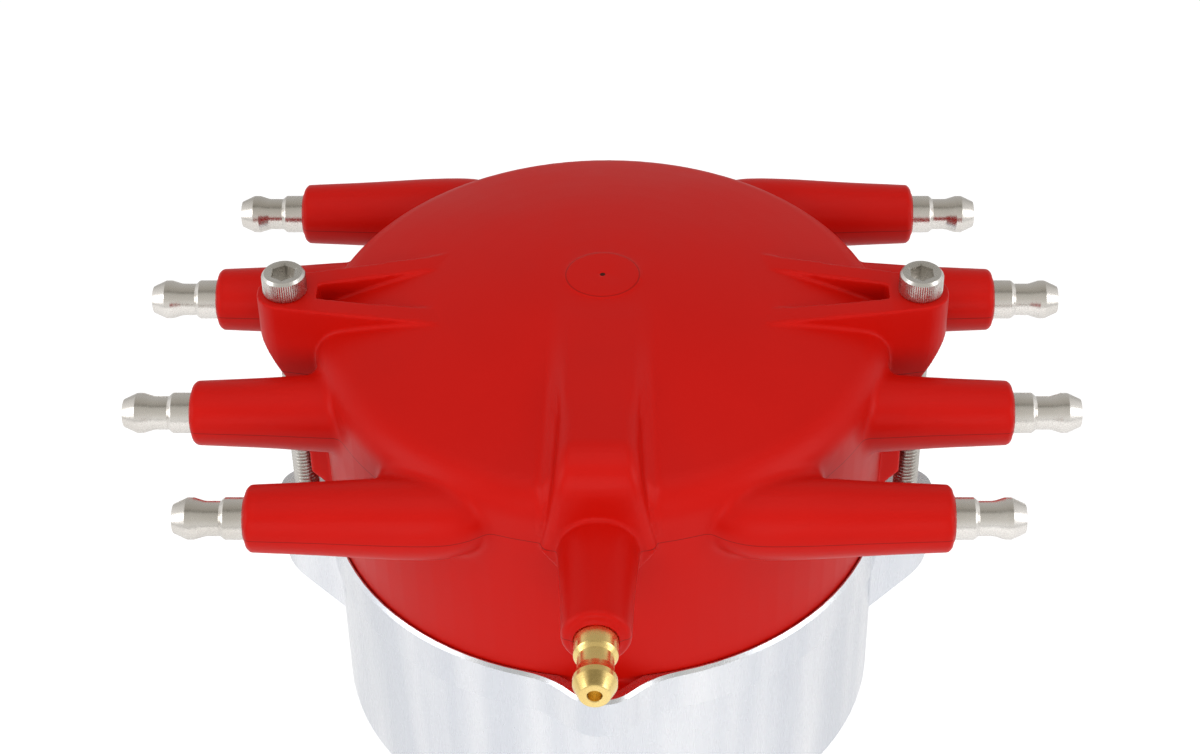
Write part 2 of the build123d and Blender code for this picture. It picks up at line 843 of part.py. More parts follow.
def housing():
    """The machined housing, from the rim down to the end of the stem."""
    seal_low = seal_groove_level - seal_groove_width
    seal_radius = stem_radius - seal_groove_depth
    band_low = oil_band_level - oil_band_length
    outer = turned(
        (0, stem_bottom),
        (stem_radius - stem_chamfer, stem_bottom),
        (stem_radius, stem_bottom + stem_chamfer),
        (stem_radius, band_low),
        (oil_band_radius, band_low + oil_band_slope),
        (oil_band_radius, oil_band_level - oil_band_slope),
        (stem_radius, oil_band_level),
        (stem_radius, seal_low),
        (seal_radius, seal_low),
        (seal_radius, seal_groove_level),
        (stem_radius, seal_groove_level),
        (stem_radius, 0),
        (stem_radius - pilot_relief, 0),
        (stem_radius - pilot_relief, gasket_thickness),
        (flange_radius - flange_edge, gasket_thickness),
        (flange_radius, gasket_thickness + flange_edge),
        (flange_radius, flange_thickness - flange_edge),
        (flange_radius - flange_edge, flange_thickness),
        (neck_radius_top, flange_thickness),
        (neck_radius_top, bowl_bottom),
        (bowl_radius - bowl_chamfer, bowl_bottom),
        (bowl_radius, bowl_bottom + bowl_chamfer),
        (bowl_radius, rim_level),
        (0, rim_level),
    )
    for level, blend in ((flange_thickness, flange_blend), (bowl_bottom, neck_blend)):
        rims = outer.edges().filter_by(GeomType.CIRCLE)
        corner = [
            edge
            for edge in rims
            if abs(edge.radius - neck_radius_top) < 0.01 and abs(edge.center().Z - level) < 0.01
        ]
        outer = fillet(corner, blend)
    for side in (0, 180):
        outer = outer + Rot(0, 0, side) * housing_ear()
    outer = outer + collar()
    for x in (-pillar_x, pillar_x):
        pillar = rod(pillar_radius, floor_level - 1, bracket_level, x, pillar_y)
        outer = outer + pillar
    inner_wall = bowl_radius - bowl_wall
    boss_top = bearing_top + bearing_boss_rise
    space = turned(
        (0, rim_level + 1),
        (lip_inner_radius, rim_level + 1),
        (lip_inner_radius, shoulder_level),
        (inner_wall, shoulder_level),
        (inner_wall, floor_level + bowl_corner),
        (inner_wall - bowl_corner, floor_level),
        (bearing_boss_radius + bearing_boss_draft, floor_level),
        (bearing_boss_radius, boss_top),
        (bearing_outer_radius, boss_top),
        (bearing_outer_radius, bearing_bottom),
        (bearing_outer_radius - race_thickness, bearing_bottom),
        (bearing_outer_radius - race_thickness, bearing_bottom - bearing_undercut),
        (stem_bore, bearing_bottom - bearing_undercut),
        (stem_bore, stem_bottom - 1),
        (0, stem_bottom - 1),
    )
    for x in (-pillar_x, pillar_x):
        space = space - rod(pillar_radius, floor_level - 2, bracket_level, x, pillar_y)
    body = outer - space
    pocket = lobe_outline(lobe_wall)
    body = body - slab(pocket, shoulder_level, rim_level + 1)
    for side in (-1, 1):
        body = body - rod(screw_radius, rim_level - screw_engagement - 2, rim_level + 1, side * screw_offset)
    for x in (-pillar_x, pillar_x):
        low = bracket_level - small_screw_grip - 1
        body = body - rod(small_screw_radius, low, bracket_level + 1, x, pillar_y)
    return body - grommet_form()


def stem_seal():
    """The rubber ring in the stem's groove, squeezed as it is in the engine."""
    middle = seal_groove_level - seal_groove_width / 2
    wire = seal_groove_depth / 2
    return Pos(0, 0, middle) * Torus(stem_radius - wire, wire)


def flange_gasket():
    """The thin gasket that lies against the seat."""
    return tube(gasket_outer, stem_radius + loose_gap, 0, gasket_thickness)


# Shaft and bearings


def ball_groove():
    """The round track that both races share."""
    middle = (bearing_outer_radius - race_thickness + shaft_radius + inner_race_relief) / 2
    level = bearing_bottom + bearing_width / 2
    return Pos(0, 0, level) * Torus(middle, ball_radius + running_gap), middle, level


def bearing_outer_race():
    """The race that sits in the housing."""
    groove = ball_groove()[0]
    inner = bearing_outer_radius - race_thickness
    return tube(bearing_outer_radius, inner, bearing_bottom, bearing_top) - groove


def bearing_inner_race():
    """The race that turns with the shaft."""
    groove = ball_groove()[0]
    outer = shaft_radius + inner_race_relief
    return tube(outer, shaft_radius, bearing_bottom, bearing_top) - groove


def bearing_balls():
    """The balls between the races."""
    middle, level = ball_groove()[1:]
    step = 360 / ball_count
    return [Rot(0, 0, n * step) * Pos(middle, 0, level) * Sphere(ball_radius) for n in range(ball_count)]


def lower_bushing():
    """The plain bearing at the bottom of the stem."""
    return tube(stem_bore, shaft_radius + running_gap, stem_bottom, stem_bottom + bushing_length)


def main_shaft():
    """The shaft, stepped down for the sleeve and the cam plate."""
    body = turned(
        (0, shaft_bottom),
        (shaft_radius - shaft_edge, shaft_bottom),
        (shaft_radius, shaft_bottom + shaft_edge),
        (shaft_radius, sleeve_bottom - loose_gap),
        (journal_radius, sleeve_bottom - loose_gap),
        (journal_radius, plate_top + loose_gap),
        (spigot_radius, plate_top + loose_gap),
        (spigot_radius, cam_top + shaft_edge),
        (0, cam_top + shaft_edge),
    )
    half = shaft_slot_width / 2
    across = (-shaft_radius - 1, shaft_radius + 1)
    slot = block((-half, half), across, (shaft_bottom - 1, shaft_bottom + shaft_slot_depth))
    return body - slot - cross_pin()


def cross_pin():
    """The roll pin through the gear's hub."""
    level = gear_top - gear_hub_length / 2
    return Pos(0, 0, level) * Rot(90, 0, 0) * Cylinder(roll_pin_radius, 2 * gear_hub_radius)


def roll_pin():
    """The split spring pin that holds the gear on the shaft."""
    level = gear_top - gear_hub_length / 2
    reach = gear_hub_radius + 1
    core = Pos(0, 0, level) * Rot(90, 0, 0) * Cylinder(roll_pin_radius - roll_pin_wall, 2 * reach)
    half = roll_pin_slit / 2
    slit = block((0, 2 * roll_pin_radius), (-reach, reach), (level - half, level + half))
    return cross_pin() - core - slit


def thrust_washers():
    """Washers between the gear and the end of the stem."""
    pieces = []
    for n in range(washer_count):
        low = gear_top + n * washer_thickness
        pieces.append(tube(washer_radius, shaft_radius, low, low + washer_thickness - washer_play))
    return pieces


def drive_gear():
    """The helical gear that the camshaft drives, with its hub on top."""
    top = gear_top - gear_hub_length
    pitch = 360 / gear_teeth
    land = pitch * gear_tooth_share / 2
    foot = pitch * (1 - gear_tooth_share) / 2
    corners = []
    for n in range(gear_teeth):
        for offset, radius in ((-foot, gear_root_radius), (-land, gear_radius),
                               (land, gear_radius), (foot, gear_root_radius)):
            angle = radians(n * pitch + offset)
            corners.append((radius * cos(angle), radius * sin(angle)))
    lead = 2 * pi * (gear_radius + gear_root_radius) / 2 / tan(radians(gear_helix_angle))
    twist = 360 * gear_length / lead
    face = (Pos(0, 0, gear_bottom) * polygon(*corners)).faces()[0]
    toothed = Solid.extrude_linear_with_rotation(face, (0, 0, gear_bottom), (0, 0, gear_length), twist)
    low, high = gear_bottom, top
    slope = gear_tooth_chamfer
    envelope = turned(
        (0, low),
        (gear_radius - slope, low),
        (gear_radius + 0.5, low + slope),
        (gear_radius + 0.5, high - slope),
        (gear_radius - slope, high),
        (0, high),
    )
    gear = (Part() + toothed) & envelope
    gear = gear + rod(gear_hub_radius, top, gear_top)
    return gear - rod(shaft_radius, gear_bottom - 1, gear_top + 1) - cross_pin()


def retaining_ring():
    """The wire ring that keeps the gear's lower side."""
    level = gear_bottom - ring_half - ring_play
    ring = tube(ring_outer_radius, shaft_radius, level - ring_half, level + ring_half)
    return ring - block((0, ring_outer_radius + 1), (-ring_gap / 2, ring_gap / 2), (level - 1, level + 1))


# Advance mechanism


def annular_sector(inner, outer, start, end):
    """Plan of a part of a ring, between two angles."""
    arcs = []
    for radius in (inner, outer):
        arcs.append([(radius * cos(radians(a)), radius * sin(radians(a)))
                     for a in (start, (start + end) / 2, end)])
    with BuildSketch() as plan:
        with BuildLine():
            ThreePointArc(*arcs[0])
            Line(arcs[0][2], arcs[1][2])
            ThreePointArc(*reversed(arcs[1]))
            Line(arcs[1][0], arcs[0][0])
        make_face()
    return plan.sketch


def leg_places():
    """Middle of each rotor leg, beside the weight pins."""
    for angle in (90 + rotor_leg_turn, 270 + rotor_leg_turn):
        yield (rotor_leg_circle * cos(radians(angle)), rotor_leg_circle * sin(radians(angle)))


def pin_places():
    """Middle of each weight pin."""
    return [(0, weight_pin_circle), (0, -weight_pin_circle)]


def advance_base():
    """The plate that carries the weights and the rotor, on a sleeve round the shaft."""
    plan = Circle(plate_radius)
    for x, y in leg_places():
        plan = plan + Pos(x, y) * Circle(rotor_leg_foot)
    for middle in (0, 180):
        window = annular_sector(
            plate_window_inner, plate_window_outer,
            middle - plate_window_span / 2, middle + plate_window_span / 2,
        )
        plan = plan - fillet(window.vertices(), plate_window_round)
    plate = slab(plan, plate_level, plate_top) + rod(sleeve_radius, sleeve_bottom, plate_top)
    plate = plate - rod(journal_radius + running_gap, sleeve_bottom - 1, plate_top + 1)
    for x, y in pin_places():
        plate = plate - rod(weight_pin_radius, plate_level - 1, plate_top + 1, x, y)
    for x, y in leg_places():
        plate = plate - rod(rotor_screw_radius, plate_level - 1, plate_top + 1, x, y)
    return plate


def weight_pins():
    """The two pivot pins, grooved for a clip and stepped for a spring's eye."""
    pieces = []
    for x, y in pin_places():
        pin = rod(weight_pin_radius, plate_level, clip_top + pin_land)
        pin = pin - tube(weight_pin_radius + 1, weight_pin_radius - clip_groove_depth, clip_level, clip_top)
        pin = pin + spring_post(clip_top)
        pieces.append(Pos(x, y, 0) * pin)
    return pieces


def spring_post(foot):
    """A stepped post with a head, which holds the eye of a spring."""
    post = rod(pin_step_radius, foot, pin_shoulder) + rod(pin_tip_radius, pin_shoulder, pin_top)
    return post + rod(pin_step_radius, pin_top - pin_head_height, pin_top)


def weight_clips():
    """The spring clips over the weights."""
    inner = weight_pin_radius - clip_groove_depth
    clip = tube(clip_radius, inner, clip_level, clip_level + clip_thickness)
    clip = clip - block((0, clip_radius + 1), (-inner, inner), (clip_level - 1, clip_level + 2))
    return [Pos(x, y, 0) * clip for x, y in pin_places()]


def weight():
    """One centrifugal weight, on the pin at +Y, with its arm along +X."""
    arm = annular_sector(weight_inner, weight_outer, weight_span_start, weight_span_end)
    ends = [v for v in arm.vertices() if v.Y < 0]
    arm = fillet(ends, weight_end_round)
    plan = arm + Pos(0, weight_pin_circle) * Circle(weight_boss_radius)
    piece = slab(plan, weight_level, weight_top)
    hole = rod(weight_pin_radius + running_gap, 0, weight_top + 1, 0, weight_pin_circle)
    return piece - hole


def cam_plate():
    """The cam that the weights push on, fixed to the top of the shaft."""
    plan = Circle(cam_radius) & Rectangle(2 * cam_radius, 2 * cam_waist)
    plan = fillet(plan.vertices(), cam_corner)
    plan = Rot(0, 0, cam_post_angle) * plan
    low = plate_top + loose_gap
    plate = slab(plan, low, cam_top) - rod(spigot_radius, low - 1, cam_top + 1)
    for x, y in cam_posts():
        plate = plate + Pos(x, y, 0) * spring_post(cam_top)
    return plate


def cam_posts():
    """Middle of each spring post on the cam plate."""
    for angle in (cam_post_angle, cam_post_angle + 180):
        yield (cam_post_circle * cos(radians(angle)), cam_post_circle * sin(radians(angle)))


def advance_spring():
    """A spring from the weight pin at +Y to the cam's post beside it."""
    post = next(cam_posts())
    pin = pin_places()[0]
    eye = pin_tip_radius + spring_wire + spring_eye_play
    run = hypot(pin[0] - post[0], pin[1] - post[1])
    level = spring_level + spring_wire
    coil_length = run - 2 * (eye + spring_wire) - spring_straight
    pitch = coil_length / spring_turns
    path = Helix(pitch, coil_length, spring_coil_radius)
    section = Plane(origin=path @ 0, z_dir=path % 0) * Circle(spring_wire)
    start = (run - coil_length) / 2
    coil = Pos(start, 0, 0) * Rot(0, 90, 0) * sweep(section, path)
    piece = Part() + coil
    for end, first, last in ((0, eye, start), (run, run - eye, start + coil_length)):
        piece = piece + Pos(end, 0, 0) * Torus(eye, spring_wire)
        low, high = min(first, last), max(first, last)
        piece = piece + Rot(0, 90, 0) * rod(spring_wire, low, high)
        reach = Pos(last, 0, 0) * Rot(0, 180, 0) * rod(spring_wire, 0, spring_coil_radius)
        piece = piece + reach + Pos(last, 0, 0) * Sphere(spring_wire)
    angle = degrees(atan2(pin[1] - post[1], pin[0] - post[0]))
    return Pos(post[0], post[1], level) * Rot(0, 0, angle) * piece


# Reluctor and pickup


def reluctor():
    """The eight-toothed wheel that the pickup senses."""
    plan = Circle(reluctor_hub_radius)
    for n in range(tooth_count):
        tooth = Pos(reluctor_tip_radius / 2, 0) * Rectangle(reluctor_tip_radius, tooth_width)
        plan = plan + Rot(0, 0, 90 + n * 360 / tooth_count) * tooth
    plan = plan & Circle(reluctor_tip_radius)
    top = reluctor_bottom + reluctor_height
    wheel = slab(plan, reluctor_bottom, reluctor_bottom + reluctor_web_height)
    for n in range(tooth_count):
        length = tooth_tip_length + 1
        tip = Pos(reluctor_tip_radius + 1 - length / 2, 0) * Rectangle(length, tooth_width)
        tip = (Rot(0, 0, 90 + n * 360 / tooth_count) * tip) & Circle(reluctor_tip_radius)
        wheel = wheel + slab(tip, reluctor_bottom, top)
    wheel = wheel + rod(reluctor_hub_radius, reluctor_bottom, top)
    return wheel - rod(sleeve_radius, reluctor_bottom - 1, top + 1)


def pole_form():
    """The steel pole that faces the reluctor's teeth."""
    front = reluctor_tip_radius + pole_gap
    middle = reluctor_bottom + reluctor_height / 2
    half = pole_width / 2
    pole = block((-half, half), (front, front + pole_length),
                 (middle - pole_height / 2, middle + pole_height / 2))
    return pole - rod(front, 0, terminal_level)


def pickup():
    """The moulded coil body on its bracket."""
    front = reluctor_tip_radius + pole_gap + pole_stand
    half = pickup_width / 2
    body = block((-half, half), (front, front + pickup_depth), (pickup_level, pickup_level + pickup_height))
    corners = body.edges().filter_by(Axis.Z)
    body = fillet(corners, pickup_corner)
    return body - pole_form()


def pickup_bracket():
    """The plate under the pickup, screwed to two pillars in the bowl."""
    plan = polygon(
        (-pickup_width / 2, bracket_front), (pickup_width / 2, bracket_front),
        (bracket_half, bracket_back - bracket_arm), (bracket_half, bracket_back),
        (-bracket_half, bracket_back), (-bracket_half, bracket_back - bracket_arm),
    )
    plan = fillet(plan.vertices(), bracket_corner) & Circle(bowl_radius - bowl_wall - loose_gap)
    plate = slab(plan, bracket_level, bracket_level + bracket_thickness)
    for x in (-pillar_x, pillar_x):
        plate = plate - rod(small_screw_radius, bracket_level - 1, pickup_level + 1, x, pillar_y)
    return plate


def pickup_screws():
    """The two screws of the bracket."""
    pieces = []
    for x in (-pillar_x, pillar_x):
        screw = pan_screw(small_screw_radius, small_head_radius, small_head_height,
                          pickup_level, bracket_level - small_screw_grip)
        pieces.append(Pos(x, pillar_y, 0) * screw)
    return pieces


def grommet_form():
    """The part of the connector that fills the opening in the bowl's wall."""
    low = connector_level - grommet_height / 2
    form = block((-grommet_half, grommet_half), (bowl_radius - bowl_wall - grommet_reach, bowl_radius + 1),
                 (low, low + grommet_height))
    return fillet(form.edges().filter_by(Axis.Y), grommet_corner)


def connector():
    """The socket for the ignition unit's plug, at the back of the bowl."""
    low = connector_level - connector_height / 2
    high = low + connector_height
    shell = block((-connector_half, connector_half), (bowl_radius - 1, connector_reach), (low, high))
    shell = fillet(shell.edges().filter_by(Axis.Y), connector_corner)
    shell = shell - rod(bowl_radius, 0, terminal_level)
    inner = grommet_form() - rod(bowl_radius - bowl_wall - grommet_stand, 0, terminal_level)
    shell = shell + inner
    wall = connector_wall
    socket = block(
        (wall - connector_half, connector_half - wall),
        (connector_reach - connector_socket_depth, connector_reach + 1),
        (low + wall, high - wall),
    )
    shell = shell - fillet(socket.edges().filter_by(Axis.Y), socket_corner)
    latch = block((-latch_half, latch_half), (connector_reach - latch_start, connector_reach - latch_end),
                  (high - 0.5, high + latch_rise))
    shell = shell + latch
    for piece in connector_contacts() + pickup_leads():
        shell = shell - piece
    return shell


def connector_contacts():
    """The two pins in the socket."""
    floor = connector_reach - connector_socket_depth
    pieces = []
    for x in (-contact_spacing / 2, contact_spacing / 2):
        pin = Rot(-90, 0, 0) * rod(contact_radius, 0, contact_root + contact_length)
        pin = Pos(x, floor - contact_root, connector_level) * pin
        tip = [edge for edge in pin.edges() if edge.center().Y > floor + contact_length - 0.01]
        pieces.append(chamfer(tip, contact_chamfer))
    return pieces


def pickup_leads():
    """The two short wires from the pickup to the connector."""
    front = reluctor_tip_radius + pole_gap + pole_stand + pickup_depth
    back = connector_reach - connector_socket_depth - contact_root
    pieces = []
    for x in (-contact_spacing / 2, contact_spacing / 2):
        pieces.append(Pos(x, front, connector_level) * Rot(-90, 0, 0) * rod(lead_radius, 0, back - front))
    return pieces


# Rotor


def rotor_segment():
    """The brass blade on the rotor's arm."""
    low = rotor_top - segment_thickness
    width = (-segment_half, segment_half)
    tip = block(width, (segment_reach - segment_tip, segment_reach + 1), (low - segment_drop, rotor_top))
    bar = block(width, (-segment_half, segment_reach + 1), (low, rotor_top))
    return (bar + tip) & rod(segment_reach, low - segment_drop - 1, rotor_top + 1)


def rotor_leaf():
    """The springy leaf between the blade and the carbon button."""
    top = button_bottom - leaf_gap
    thickness = leaf_thickness
    crown = leaf_crown_half
    run = leaf_reach
    with BuildSketch(Plane.YZ) as side:
        Polygon(
            (run, rotor_top), (run, rotor_top + thickness), (run - leaf_foot, rotor_top + thickness),
            (crown, top), (-crown, top), (-crown, top - thickness),
            (crown - leaf_bend, top - thickness), (run - leaf_foot - leaf_bend, rotor_top),
            align=None,
        )
    return extrude(side.sketch, leaf_half, both=True)


def rotor_upper():
    """The rotor's hub, with the arm under the blade and a rib behind."""
    disc_top = rotor_disc_level + rotor_disc_thickness
    blade_level = rotor_top - segment_thickness
    foot = disc_top - 1
    hub = turned((0, foot), (rotor_hub_radius, foot), (rotor_hub_top_radius, blade_level), (0, blade_level))
    with BuildSketch(Plane.YZ) as arm:
        Polygon(
            (0, foot), (rotor_arm_reach - rotor_arm_lean, foot),
            (rotor_arm_reach, blade_level), (0, blade_level),
            align=None,
        )
    rib_top = rotor_top - rotor_rib_drop
    with BuildSketch(Plane.YZ) as rear:
        Polygon(
            (0, foot), (rotor_edge - rotor_radius, foot), (-rotor_hub_radius, rib_top), (0, rib_top),
            align=None,
        )
    upper = hub + extrude(arm.sketch, rotor_arm_half, both=True)
    upper = upper + extrude(rear.sketch, rotor_rib_half, both=True)
    return upper - rotor_segment()


def rotor():
    """The moulded rotor: disc, hub, arm and the legs down to the base plate."""
    disc_top = rotor_disc_level + rotor_disc_thickness
    body = rod(rotor_radius, rotor_disc_level, disc_top) + Rot(0, 0, rotor_turn) * rotor_upper()
    for x, y in leg_places():
        body = body + rod(rotor_leg_radius, plate_top, disc_top, x, y)
    body = body - rod(rotor_hub_radius - rotor_hub_wall, rotor_disc_level - 1, rotor_top - rotor_hub_roof)
    for x, y in leg_places():
        body = body - rod(rotor_screw_radius, plate_top - 1, disc_top + 1, x, y)
    return body


def rotor_screws():
    """The two screws that hold the rotor to the base plate."""
    seat = rotor_disc_level + rotor_disc_thickness
    screw = pan_screw(rotor_screw_radius, rotor_screw_head, rotor_screw_head_height, seat, plate_level)
    return [Pos(x, y, 0) * screw for x, y in leg_places()]


def save(name, shape):
    """Writes one node; a list becomes a group of separate solids."""
    whole = Compound(children=shape) if isinstance(shape, list) else shape
    export_step(whole, f"parts/{name}.step")


def build():
    """Makes every piece and writes it."""
    os.makedirs("parts", exist_ok=True)
    terminals = [plug_terminal(end, turn) for end, turn in tower_places()[:-1]]
    front_terminal = coil_terminal()
    lead = coil_lead(front_terminal)
    for n, piece in enumerate(terminals):
        save(f"plug_terminal_{n + 1}", piece)
    save("coil_terminal", front_terminal)
    save("coil_lead", lead)
    save("distributor_cap", distributor_cap(terminals, [front_terminal, lead]))
    save("carbon_button", carbon_button())
    save("button_spring", button_spring())
    save("cap_screws", cap_screws())
    save("housing", housing())
    save("stem_seal", stem_seal())
    save("flange_gasket", flange_gasket())
    save("bearing_outer_race", bearing_outer_race())
    save("bearing_inner_race", bearing_inner_race())
    save("bearing_balls", bearing_balls())
    save("lower_bushing", lower_bushing())
    save("main_shaft", main_shaft())
    save("roll_pin", roll_pin())
    save("thrust_washers", thrust_washers())
    save("drive_gear", drive_gear())
    save("retaining_ring", retaining_ring())
    save("advance_base", advance_base())
    save("weight_pins", weight_pins())
    save("weight_clips", weight_clips())
    first_weight = weight()
    first_spring = advance_spring()
    for n, turn in enumerate((0, 180)):
        save(f"advance_weight_{n + 1}", Rot(0, 0, turn) * first_weight)
        save(f"advance_spring_{n + 1}", Rot(0, 0, turn) * first_spring)
    save("cam_plate", cam_plate())
    save("reluctor", reluctor())
    save("pole_piece", pole_form())
    save("pickup", pickup())
    save("pickup_bracket", pickup_bracket())
    save("pickup_screws", pickup_screws())
    save("pickup_leads", pickup_leads())
    save("connector", connector())
    save("connector_contacts", connector_contacts())
    save("rotor", rotor())
    save("rotor_segment", Rot(0, 0, rotor_turn) * rotor_segment())
    save("rotor_leaf", Rot(0, 0, rotor_turn) * rotor_leaf())
    save("rotor_screws", rotor_screws())


build()
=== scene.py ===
import json
import math

import bmesh
import bpy
from mathutils import Matrix, Vector

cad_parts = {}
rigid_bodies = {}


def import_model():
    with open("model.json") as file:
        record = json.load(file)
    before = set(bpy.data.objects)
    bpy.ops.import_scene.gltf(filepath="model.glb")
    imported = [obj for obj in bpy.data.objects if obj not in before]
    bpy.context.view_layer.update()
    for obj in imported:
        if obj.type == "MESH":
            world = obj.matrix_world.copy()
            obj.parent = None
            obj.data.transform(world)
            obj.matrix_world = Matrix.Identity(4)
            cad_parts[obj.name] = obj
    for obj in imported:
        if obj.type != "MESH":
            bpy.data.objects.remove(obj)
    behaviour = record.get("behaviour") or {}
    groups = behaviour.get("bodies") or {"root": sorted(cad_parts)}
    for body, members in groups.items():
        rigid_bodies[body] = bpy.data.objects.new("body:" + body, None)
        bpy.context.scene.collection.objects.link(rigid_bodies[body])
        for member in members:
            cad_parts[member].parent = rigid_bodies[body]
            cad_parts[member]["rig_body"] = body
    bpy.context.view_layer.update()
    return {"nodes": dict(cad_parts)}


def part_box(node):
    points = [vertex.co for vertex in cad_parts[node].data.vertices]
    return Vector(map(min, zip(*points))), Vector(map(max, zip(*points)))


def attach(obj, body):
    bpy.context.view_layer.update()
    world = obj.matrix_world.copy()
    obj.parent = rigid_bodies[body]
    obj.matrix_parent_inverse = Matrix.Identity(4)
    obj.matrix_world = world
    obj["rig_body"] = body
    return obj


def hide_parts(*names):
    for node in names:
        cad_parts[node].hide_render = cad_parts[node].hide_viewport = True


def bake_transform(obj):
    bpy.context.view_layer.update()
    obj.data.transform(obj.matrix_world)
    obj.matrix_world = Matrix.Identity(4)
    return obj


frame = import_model()
nodes = frame["nodes"]
print("frame loaded, nodes:", len(nodes))


def linearColour(hexText, alpha=1.0):
    shares = [int(hexText[i:i + 2], 16) / 255 for i in (0, 2, 4)]
    return [s / 12.92 if s <= 0.04045 else ((s + 0.055) / 1.055) ** 2.4 for s in shares] + [alpha]


def addNode(tree, kind, settings={}, links={}):
    node = tree.nodes.new(kind)
    for key, value in settings.items():
        if isinstance(key, int) or key in node.inputs:
            node.inputs[key].default_value = value
        else:
            setattr(node, key, value)
    for key, source in links.items():
        tree.links.new(source, node.inputs[key])
    return node


def startMaterial(name):
    material = bpy.data.materials.new(name)
    material.use_nodes = True
    material.node_tree.nodes.clear()
    return material, material.node_tree


def finishMaterial(tree, shader):
    addNode(tree, "ShaderNodeOutputMaterial", {}, {"Surface": shader.outputs[0]})


# Camera: the place and lens were fitted to the rim, the terminals and the screws of the photograph
cameraFit = {"place": (0.0086, -0.3129, 0.3404), "pitchDown": 38.486, "lens": 73.96, "sensor": 36,
             "shift": (-0.0477, -0.0092), "nearest": 0.01, "farthest": 20}


def makeCamera():
    camera = bpy.data.objects.new("camera", bpy.data.cameras.new("camera"))
    bpy.context.scene.collection.objects.link(camera)
    camera.location = cameraFit["place"]
    camera.rotation_euler = (math.radians(90 - cameraFit["pitchDown"]), 0, 0)
    camera.data.sensor_fit = "HORIZONTAL"
    camera.data.sensor_width = cameraFit["sensor"]
    camera.data.lens = cameraFit["lens"]
    camera.data.shift_x, camera.data.shift_y = cameraFit["shift"]
    camera.data.clip_start = cameraFit["nearest"]
    camera.data.clip_end = cameraFit["farthest"]
    bpy.context.scene.camera = camera


makeCamera()
bpy.context.scene.view_settings.view_transform = "Standard"

# Studio: a white room with a darker ceiling, soft boxes over the piece, at both sides and behind the camera.
# The shades run from the back wall (0) over the ceiling (0.5) to the wall behind the camera (1)
studio = {"roomStrength": 0.52, "floorLevel": -0.2, "floorReach": 3.0, "floorWhite": "F2F2F2",
          "floorGlow": 0.42, "mirroredGlow": 0.18,
          "roomShades": [(0.0, "BEBDBA"), (0.15, "C0BFBC"), (0.36, "B4B1AA"), (0.48, "A8A49C"),
                         (0.52, "84827A"), (0.555, "84827A"), (0.59, "C4C2BC"), (0.8, "D4D2CC"),
                         (1.0, "F4F4F2")],
          "sideFrom": 0.5, "sideTo": 0.85,
          # name, place, aim, size, watts, whether metal mirrors it
          "lamps": [("overheadSoftbox", (0.0, -0.15, 0.95), (0.0, 0.0, 0.1), (0.9, 0.7), 2.4, False),
                    ("leftSoftbox", (-0.9, -0.3, 0.4), (0.0, 0.0, 0.08), (0.35, 0.6), 1.9, True),
                    ("rightSoftbox", (0.9, -0.3, 0.4), (0.0, 0.0, 0.08), (0.35, 0.6), 1.9, True),
                    ("frontSoftbox", (0.0, -1.1, 0.35), (0.0, 0.0, 0.08), (1.0, 0.5), 5.0, False)]}


def addRamp(tree, stops, factor):
    ramp = addNode(tree, "ShaderNodeValToRGB", {}, {"Fac": factor})
    stretches = ramp.color_ramp.elements
    while len(stretches) < len(stops):
        stretches.new(0.5)
    for stretch, (place, shade) in zip(stretches, stops):
        stretch.position = place
    for stretch, (place, shade) in zip(ramp.color_ramp.elements, stops):
        stretch.color = linearColour(shade)
    return ramp


